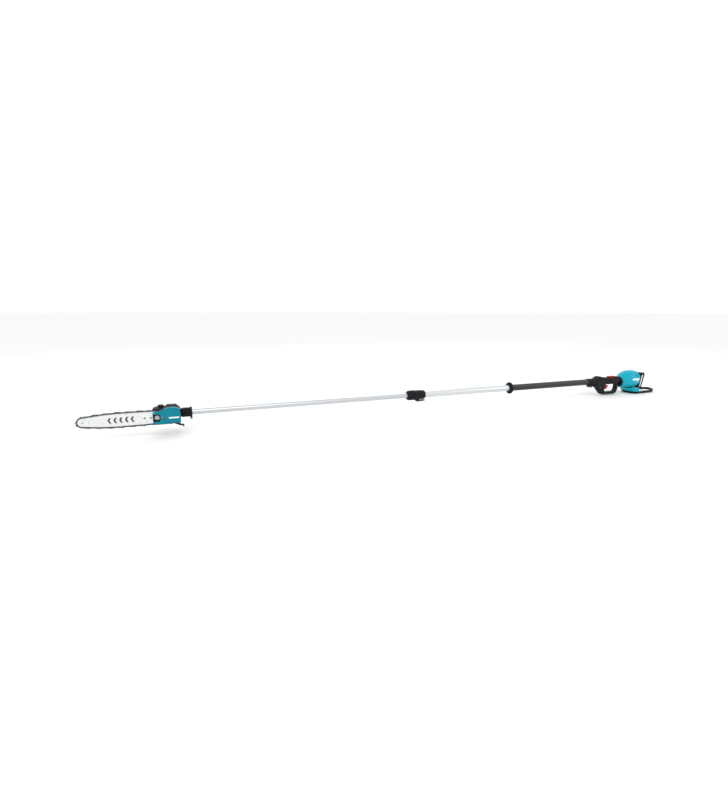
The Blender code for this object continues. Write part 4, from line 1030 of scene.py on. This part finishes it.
def build_holder():
    """Split and grooved sleeve in front of the handle, closed by two bolts."""
    low, high = node_box("pole_holder")
    ring = round_edges(prism(circle(0.0, 0.0, 18.6, 72), low.x, high.x, "X"), 1.4, 60.0, 3)
    lug = round_edges(prism([(-9.0, -15.0), (-9.0, low.z), (9.0, low.z), (9.0, -15.0)], low.x + 8.0, high.x, "X"),
                      2.0, 60.0, 3)
    tools = [rod(900.0, 1100.0, SLEEVE_BORE, sides=72),
             block((low.x - 5.0, -0.8, low.z - 5.0), (high.x + 5.0, 0.8, -14.5))]
    for i in range(3):
        tools.append(tube(low.x + 6.0 + 11.0 * i, low.x + 9.0 + 11.0 * i, 17.7, 24.0, sides=72, chamfer=0.1))
    bolts = []
    for number in (1, 2):
        bolt_low, bolt_high = node_box(f"holder_bolt_{number}")
        at = (node_middle(f"holder_bolt_{number}").x, 0.0, 0.0)
        tools.append(rod(-40.0, -16.3, 3.0, "Z", at))
        hexagon = prism(circle(at[0], 0.0, 2.6, 6), bolt_low.z - 2.0, bolt_low.z + 3.0, "Z")
        head = cut(rod(bolt_low.z, bolt_low.z + 5.1, 5.2, "Z", at, 32, 0.6), hexagon)
        bolts.append(joined(head, rod(bolt_low.z + 4.0, bolt_high.z, 2.6, "Z", at, 24)))
    holder = cut(joined(ring, lug), *tools)
    piece("pole_holder_shell", holder, "black_nylon", "base", ("pole_holder",))
    for number, bolt in enumerate(bolts, 1):
        piece(f"holder_screw_{number}", bolt, "zinc_steel", "base", (f"holder_bolt_{number}",))


# ---- motor unit ----------------------------------------------------------------------------------
BASE_REAR_X = node_box("base_skid")[1].x
# Place along the pole, height of the section's centre, half width and half height.
STATIONS = ((1215.0, -10.0, 30.0, 29.0), (1222.0, -8.5, 33.5, 33.0), (1232.0, -5.5, 38.0, 38.5),
            (1245.0, -1.5, 43.0, 43.0), (1260.0, 0.5, 47.5, 47.0), (1278.0, 2.0, 49.5, 49.5),
            (1296.0, 2.0, 49.5, 50.0), (1311.0, 1.5, 48.0, 49.0), (1325.0, 0.0, 44.5, 46.5))
HOUSING_TOP = 51.95
LEAN = 0.16                    # how far housing and mount lean back, in millimetres for each one upwards
LIP_LEAN = 0.24                # the same at the rail lips
RAKE = 1.2                     # how far the base's front draws back, in millimetres for each one downwards
MOUNT_X = 1328.0
MOUNT_LIP_X = 1364.0
GUARD_BEND_X = 1380.0
GUARD_RISE = 9.0
INTAKE = (0.0, 0.0, -10.0)


def lean(x, z):
    """X of a housing point, which leans back more and more towards the rear."""
    share = max(0.0, min(1.0, (x - 1270.0) / 55.0))
    return x + LEAN * (z + 20.0) * share * share * (3 - 2 * share)


def station(x):
    """Centre height, half width and half height of the housing at x, smooth through the stations."""
    last = len(STATIONS) - 1
    i = max(k for k in range(last) if STATIONS[k][0] <= x or k == 0)
    x0, x1 = STATIONS[i][0], STATIONS[i + 1][0]
    t = (x - x0) / (x1 - x0)

    def slope(k, c):
        a, b = max(0, k - 1), min(last, k + 1)
        return (STATIONS[b][c] - STATIONS[a][c]) / (STATIONS[b][0] - STATIONS[a][0])
    values = []
    for c in (1, 2, 3):
        p0, p1 = STATIONS[i][c], STATIONS[i + 1][c]
        m0, m1 = slope(i, c) * (x1 - x0), slope(i + 1, c) * (x1 - x0)
        values.append((2 * t ** 3 - 3 * t ** 2 + 1) * p0 + (t ** 3 - 2 * t ** 2 + t) * m0
                      + (-2 * t ** 3 + 3 * t ** 2) * p1 + (t ** 3 - t ** 2) * m1)
    centre, width, height = values
    return centre, width, min(height, HOUSING_TOP - centre)


def housing_point(x, angle, inset, side):
    """A point of the housing's skin: the angle runs from 90 degrees at the top to -90 at the bottom."""
    centre, width, height = station(x)
    y = (width - inset) * abs(math.cos(angle)) ** 0.95
    z = centre + (height - inset) * math.sin(angle)
    return (lean(x, z), side * (y + HALF_GAP), z)


def housing_half(side, skin=3.0):
    """One shell half: an outer skin, and an inner one moved in by the wall's thickness."""
    around = 40
    count_x = 44
    front, rear = STATIONS[0][0], STATIONS[-1][0]
    rings = []
    for k in range(count_x + 1):
        x = front + (rear - front) * (k / count_x) ** 1.15
        ring = []
        for inset, order in ((0.0, range(around + 1)), (skin, range(around, -1, -1))):
            for step in order:
                angle = math.pi / 2 - math.pi * step / around
                px, py, pz = housing_point(x, angle, inset, side)
                ring.append((px, side * HALF_GAP if step in (0, around) else py, pz))
        rings.append(ring)
    return skinned(rings)


def skin_patch(side, x_low, x_high, a_low, a_high, thickness, rows=6, columns=16):
    """A thin plate that follows the housing's skin between two places and two angles."""
    shape = bmesh.new()
    layers = []
    for inset in (-thickness, 0.3):
        layer = []
        for r in range(rows + 1):
            angle = math.radians(a_low + (a_high - a_low) * r / rows)
            layer.append([shape.verts.new(housing_point(x_low + (x_high - x_low) * c / columns, angle, inset, side))
                          for c in range(columns + 1)])
        layers.append(layer)
    for layer in layers:
        for r in range(rows):
            for c in range(columns):
                shape.faces.new((layer[r][c], layer[r][c + 1], layer[r + 1][c + 1], layer[r + 1][c]))
    rim = [(0, c) for c in range(columns)] + [(r, columns) for r in range(rows)]
    rim += [(rows, c) for c in range(columns, 0, -1)] + [(r, 0) for r in range(rows, 0, -1)]
    for k, (r, c) in enumerate(rim):
        r2, c2 = rim[(k + 1) % len(rim)]
        shape.faces.new((layers[0][r][c], layers[0][r2][c2], layers[1][r2][c2], layers[1][r][c]))
    bmesh.ops.recalc_face_normals(shape, faces=shape.faces[:])
    return shape


def bow_outline(half_width, front, rear, reach):
    """Plan view: a rounded bow in front and a square end behind."""
    points = []
    for step in range(25):
        angle = math.pi / 2 * (step / 12 - 1)
        points.append((front + reach * (1 - math.cos(angle)), half_width * math.sin(angle)))
    return points + [(rear, half_width), (rear, -half_width)]


def raked(shape, top, rear, slope):
    """Draw the front back as it goes down, and leave the rear where it is."""
    front = min(v.co.x for v in shape.verts)
    for vertex in shape.verts:
        vertex.co.x += slope * (top - vertex.co.z) * (rear - vertex.co.x) / (rear - front)
    return shape


def build_housing(sizes):
    """Motor housing halves with their strips and ridges, the skirt under them and the base."""
    for name, node, side in (("motor_shell_left", "housing_left_half", -1),
                             ("motor_shell_right", "housing_right_half", 1)):
        tools = [block((1100.0, -60.0, -70.0), (1400.0, 60.0, -46.0))]
        for i in range(sizes.exhaust_slots):
            x = 1290.0 + 5.4 * i
            slot = round_outline([(x, 17.0), (x + 2.2, 17.0), (x + 5.8, 35.0), (x + 3.6, 35.0)], 1.1, 4)
            tools.append(prism(slot, *sorted((side * 20.0, side * 60.0))))
        shell = cut(housing_half(side), *tools)
        piece(name, shell, "teal_nylon", "base", (node,), smooth=40.0)
    strips = []
    ridges = []
    for side in (-1, 1):
        strips += [skin_patch(side, 1266.0, 1314.0, -2.0, 10.0, 0.3),
                   skin_patch(side, 1296.0, 1314.0, -10.0, -6.0, 0.3)]
        ridges += [skin_patch(side, 1215.2, 1219.5, -89.0, 89.0, 0.9, 40, 4),
                   skin_patch(side, 1228.0, 1322.0, -38.0, -35.0, 1.1, 4, 40),
                   skin_patch(side, 1226.0, 1300.0, 44.0, 46.5, 0.9, 4, 40)]
    piece("housing_strips", gathered(strips), "ink", "base", ())
    piece("housing_ridges", gathered(ridges), "teal_nylon", "base", ())
    low, high = node_box("lower_housing")
    rear = BASE_REAR_X - 2.0
    skirt = prism(bow_outline(high.y, 1254.0, rear, 46.0), low.z, high.z, "Z")
    round_edges(skirt, 4.5, 60.0, 5, lambda e: all(v.co.z > high.z - 0.1 for v in e.verts))
    skirt = cut(skirt, prism(bow_outline(43.0, 1276.0, 1316.0, 34.0), -70.0, high.z - 3.0, "Z"))
    piece("lower_housing_shell", raked(skirt, high.z, rear, RAKE), "teal_nylon", "base", ("lower_housing",))
    low, high = node_box("base_skid")
    base = prism(bow_outline(high.y, 1276.0, BASE_REAR_X, 42.0), low.z, high.z, "Z")
    round_edges(base, 3.5, 60.0, 4, lambda e: all(v.co.z < low.z + 0.1 for v in e.verts))
    at = (1323.0, 0.0, 0.0)
    tools = [prism(bow_outline(44.0, 1290.0, 1316.0, 24.0), -77.0, -60.0, "Z")]
    base = raked(cut(base, *tools), high.z, BASE_REAR_X, RAKE)
    base = cut(base, rod(-90.0, -50.0, 2.3, "Z", at), rod(-90.0, -76.0, 4.4, "Z", at))
    piece("base_tray", base, "black_nylon", "base", ("base_skid",), soften=0.4)


def build_grille():
    """Air intake with slots like spokes in front of the housing."""
    low, high = node_box("intake_grille")
    disc = turned([(low.x, 0.0), (low.x, 20.0), (low.x + 1.0, 21.5), (low.x + 4.0, 26.6), (high.x - 4.0, 27.6),
                   (high.x, 28.0), (high.x, 0.0)], centre=INTAKE, sides=80)
    tools = [rod(1190.0, 1230.0, SLEEVE_BORE, sides=72)]
    for slot in range(15):
        spoke = block((low.x - 10.0, -1.3, 17.6), (high.x + 10.0, 1.3, 25.4))
        spoke.transform(Matrix.Rotation(math.radians(82.0 + 14.0 * slot), 4, "X"))
        spoke.transform(Matrix.Translation(INTAKE))
        tools.append(spoke)
    piece("intake_louvres", cut(disc, *tools), "black_nylon", "base", ("intake_grille",))


def build_guard():
    """Loop round the battery's place, from the base to its raised rear end."""
    low, high = node_box("rear_guard")

    def loop(half_width, tip, front):
        centre = tip - half_width
        points = [(front, -half_width)]
        for step in range(33):
            angle = -math.pi / 2 + math.pi * step / 32
            points.append((centre + half_width * math.cos(angle), half_width * math.sin(angle)))
        return points + [(front, half_width)]
    outline = loop(high.y, high.x, low.x) + list(reversed(loop(38.0, high.x - 14.0, low.x)))
    guard = round_edges(prism(outline, low.z, high.z - GUARD_RISE, "Z"), 4.2, 55.0, 5,
                        lambda e: abs(e.verts[0].co.z - e.verts[1].co.z) < 0.1)
    for vertex in guard.verts:
        share = max(0.0, (vertex.co.x - GUARD_BEND_X) / (high.x - GUARD_BEND_X))
        vertex.co.z += GUARD_RISE * share ** 2
    piece("guard_loop", guard, "black_nylon", "base", ("rear_guard",))


def tilted(shape):
    """Lean a battery mount shape: the plate leans a little and the rail lips lean more."""
    for vertex in shape.verts:
        share = (vertex.co.x - MOUNT_X) / (MOUNT_LIP_X - MOUNT_X)
        vertex.co.x += (LEAN + (LIP_LEAN - LEAN) * share) * (vertex.co.z + 20.0)
    return shape


def build_battery_mount():
    """Leaning plate with two hooked rails, the terminal block between them and its blades."""
    low, high = node_box("battery_mount")
    seat_x = 1342.0
    hook_x = 1357.0
    outline = [(MOUNT_X, -36.0), (MOUNT_X, 36.0), (MOUNT_LIP_X, 36.0), (MOUNT_LIP_X, 26.0), (hook_x, 26.0),
               (hook_x, 31.0), (seat_x, 31.0), (seat_x, -31.0), (hook_x, -31.0), (hook_x, -26.0),
               (MOUNT_LIP_X, -26.0), (MOUNT_LIP_X, -36.0)]
    plate = round_edges(prism(outline, low.z, high.z, "Z"), 0.8, 60.0, 3)
    notch = round_outline(rectangle(-9.0, high.z - 7.0, 9.0, high.z + 8.0), 3.0)
    tools = [prism(notch, 1338.0, 1370.0, "X"), block((1338.0, -13.5, -30.5), (1351.0, 13.5, 4.5))]
    hood = [(1320.0, high.z + 5.0), (1380.0, high.z + 5.0), (1380.0, high.z - 20.0), (1352.0, high.z - 2.0)]
    for side in (-1, 1):
        y_low, y_high = sorted((side * 35.0, side * 40.0))
        tools.append(block((1344.0, y_low, low.z + 5.0), (1352.5, y_high, high.z - 14.0)))
        tools.append(prism(hood, *sorted((side * 26.5, side * 40.0))))
    piece("battery_rails", tilted(cut(plate, *tools)), "black_nylon", "base", ("battery_mount",))
    block_low, block_high = node_box("terminal_block")
    terminals = round_edges(block((1338.3, -13.0, block_low.z), (1354.0, 13.0, block_high.z)), 0.8, 60.0, 2)
    slits = [block((1348.0, -9.6 + 6.0 * i, -26.0), (1360.0, -8.4 + 6.0 * i, 12.0)) for i in range(4)]
    piece("terminal_housing", tilted(cut(terminals, *slits)), "black_rubber", "base", ("terminal_block",))
    blades = [block((1345.0, -9.35 + 6.0 * i, -24.0), (1353.2, -8.65 + 6.0 * i, 2.0)) for i in range(4)]
    piece("terminal_blades", tilted(gathered(blades)), "copper", "base", ())
    edges = []
    for side in (-1, 1):
        y_low, y_high = sorted((side * 34.7, side * 36.2))
        edges.append(block((1344.3, y_low, low.z + 5.3), (1352.2, y_high, high.z - 14.3)))
    piece("rail_guide_strips", tilted(gathered(edges)), "white_acetal", "base", ())


# ---- stage ---------------------------------------------------------------------------------------
def build_stage():
    """Floor, even white surroundings, three softboxes and the camera."""
    floor_mesh = bmesh.new()
    bmesh.ops.create_circle(floor_mesh, cap_ends=True, radius=60.0, segments=96)
    mesh = bpy.data.meshes.new("studio_floor")
    floor_mesh.to_mesh(mesh)
    floor_mesh.free()
    mesh.materials.append(pale_floor("matt_floor_paint"))
    floor = bpy.data.objects.new("studio_floor", mesh)
    floor.location.z = -0.0005
    bpy.context.scene.collection.objects.link(floor)

    world = bpy.data.worlds.new("studio_air")
    world.use_nodes = True
    sky = world.node_tree.nodes["Background"]
    sky.inputs["Color"].default_value = (*linear("#FFFFFF"), 1.0)
    sky.inputs["Strength"].default_value = 1.08
    bpy.context.scene.world = world

    def softbox(name, at, aim, size, power):
        light = bpy.data.lights.new(name, "AREA")
        light.shape = "RECTANGLE"
        light.size, light.size_y = size
        light.energy = power
        obj = bpy.data.objects.new(name, light)
        bpy.context.scene.collection.objects.link(obj)
        obj.location = at
        obj.rotation_euler = (Vector(aim) - Vector(at)).to_track_quat("-Z", "Y").to_euler()
    softbox("key_softbox", (-1.2, -2.6, 2.8), (0.0, 0.0, 0.1), (3.2, 1.4), 34.0)
    softbox("fill_softbox", (2.8, -1.8, 1.6), (0.6, 0.0, 0.1), (1.6, 1.6), 10.0)
    softbox("rim_softbox", (0.4, 2.6, 2.2), (0.0, 0.0, 0.1), (3.4, 0.9), 24.0)

    camera_data = bpy.data.cameras.new("camera")
    camera_data.lens = 20.25
    camera_data.sensor_width = 36.0
    camera = bpy.data.objects.new("camera", camera_data)
    bpy.context.scene.collection.objects.link(camera)
    forward = Vector((0.35665, 0.91276, -0.19918)).normalized()
    right = Vector((0.93142, -0.36394, 0.0)).normalized()
    right = (right + right.cross(forward) * 0.002).normalized()
    up = right.cross(forward)
    turn = Matrix((right, up, -forward)).transposed().to_4x4()
    camera.matrix_world = Matrix.Translation((-1.0797, -1.8507, 0.3983 + AXIS_HEIGHT * MM)) @ turn
    camera_data.clip_end = 200.0
    bpy.context.scene.camera = camera
    bpy.context.scene.view_settings.view_transform = "Standard"


# ---- operators -----------------------------------------------------------------------------------
class POLESAW_OT_stage(bpy.types.Operator):
    """Make the floor, the softboxes and the camera"""
    bl_idname = "polesaw.stage"
    bl_label = "Stage"

    def execute(self, context):
        build_stage()
        return {"FINISHED"}


class POLESAW_OT_finishes(bpy.types.Operator):
    """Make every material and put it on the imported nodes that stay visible"""
    bl_idname = "polesaw.finishes"
    bl_label = "Finishes"

    def execute(self, context):
        make_materials(context.scene.polesaw_colours)
        slots = {entry["node"]: entry["material_slot"] for entry in frame["record"]["subparts"]}
        for name, obj in frame["nodes"].items():
            obj.data.materials.clear()
            obj.data.materials.append(MATERIALS[slots[name]])
        return {"FINISHED"}


class POLESAW_OT_cutting_gear(bpy.types.Operator):
    """Make the guide bar and the chain"""
    bl_idname = "polesaw.cutting_gear"
    bl_label = "Bar and Chain"

    def execute(self, context):
        build_bar()
        build_chain(context.scene.polesaw_sizes)
        return {"FINISHED"}


class POLESAW_OT_head(bpy.types.Operator):
    """Make the gear case, oil tank, sprocket cover, nut, coupling and hook"""
    bl_idname = "polesaw.head"
    bl_label = "Saw Head"

    def execute(self, context):
        build_gear_case()
        build_tank()
        build_cover()
        build_nut()
        build_coupling()
        build_hook()
        return {"FINISHED"}


class POLESAW_OT_pole(bpy.types.Operator):
    """Make the tubes, the sleeve, the hand stop and the lever clamp"""
    bl_idname = "polesaw.pole"
    bl_label = "Pole"

    def execute(self, context):
        build_pole(context.scene.polesaw_sizes)
        build_clamp()
        return {"FINISHED"}


class POLESAW_OT_handle(bpy.types.Operator):
    """Make the D-handle, its controls and the pole holder"""
    bl_idname = "polesaw.handle"
    bl_label = "Handle"

    def execute(self, context):
        build_handle()
        build_controls()
        build_holder()
        return {"FINISHED"}


class POLESAW_OT_motor_unit(bpy.types.Operator):
    """Make the motor housing, base, guard loop and battery mount"""
    bl_idname = "polesaw.motor_unit"
    bl_label = "Motor Unit"

    def execute(self, context):
        build_housing(context.scene.polesaw_sizes)
        build_grille()
        build_guard()
        build_battery_mount()
        return {"FINISHED"}


class POLESAW_PT_panel(bpy.types.Panel):
    bl_label = "Pole Saw"
    bl_idname = "POLESAW_PT_panel"
    bl_space_type = "VIEW_3D"
    bl_region_type = "UI"
    bl_category = "Pole Saw"

    def draw(self, context):
        for operator in STEPS:
            self.layout.operator(operator.bl_idname)
        for group in (context.scene.polesaw_sizes, context.scene.polesaw_colours):
            for name in group.__annotations__:
                self.layout.prop(group, name)


STEPS = (POLESAW_OT_stage, POLESAW_OT_finishes, POLESAW_OT_cutting_gear, POLESAW_OT_head, POLESAW_OT_pole,
         POLESAW_OT_handle, POLESAW_OT_motor_unit)
CLASSES = (PoleSawSizes, PoleSawColours, *STEPS, POLESAW_PT_panel)


def register():
    for cls in CLASSES:
        bpy.utils.register_class(cls)
    bpy.types.Scene.polesaw_sizes = bpy.props.PointerProperty(type=PoleSawSizes)
    bpy.types.Scene.polesaw_colours = bpy.props.PointerProperty(type=PoleSawColours)


def unregister():
    del bpy.types.Scene.polesaw_colours
    del bpy.types.Scene.polesaw_sizes
    for cls in reversed(CLASSES):
        bpy.utils.unregister_class(cls)


def main():
    register()
    for operator in STEPS:
        family, name = operator.bl_idname.split(".")
        getattr(getattr(bpy.ops, family), name)()


if __name__ == "__main__":
    main()
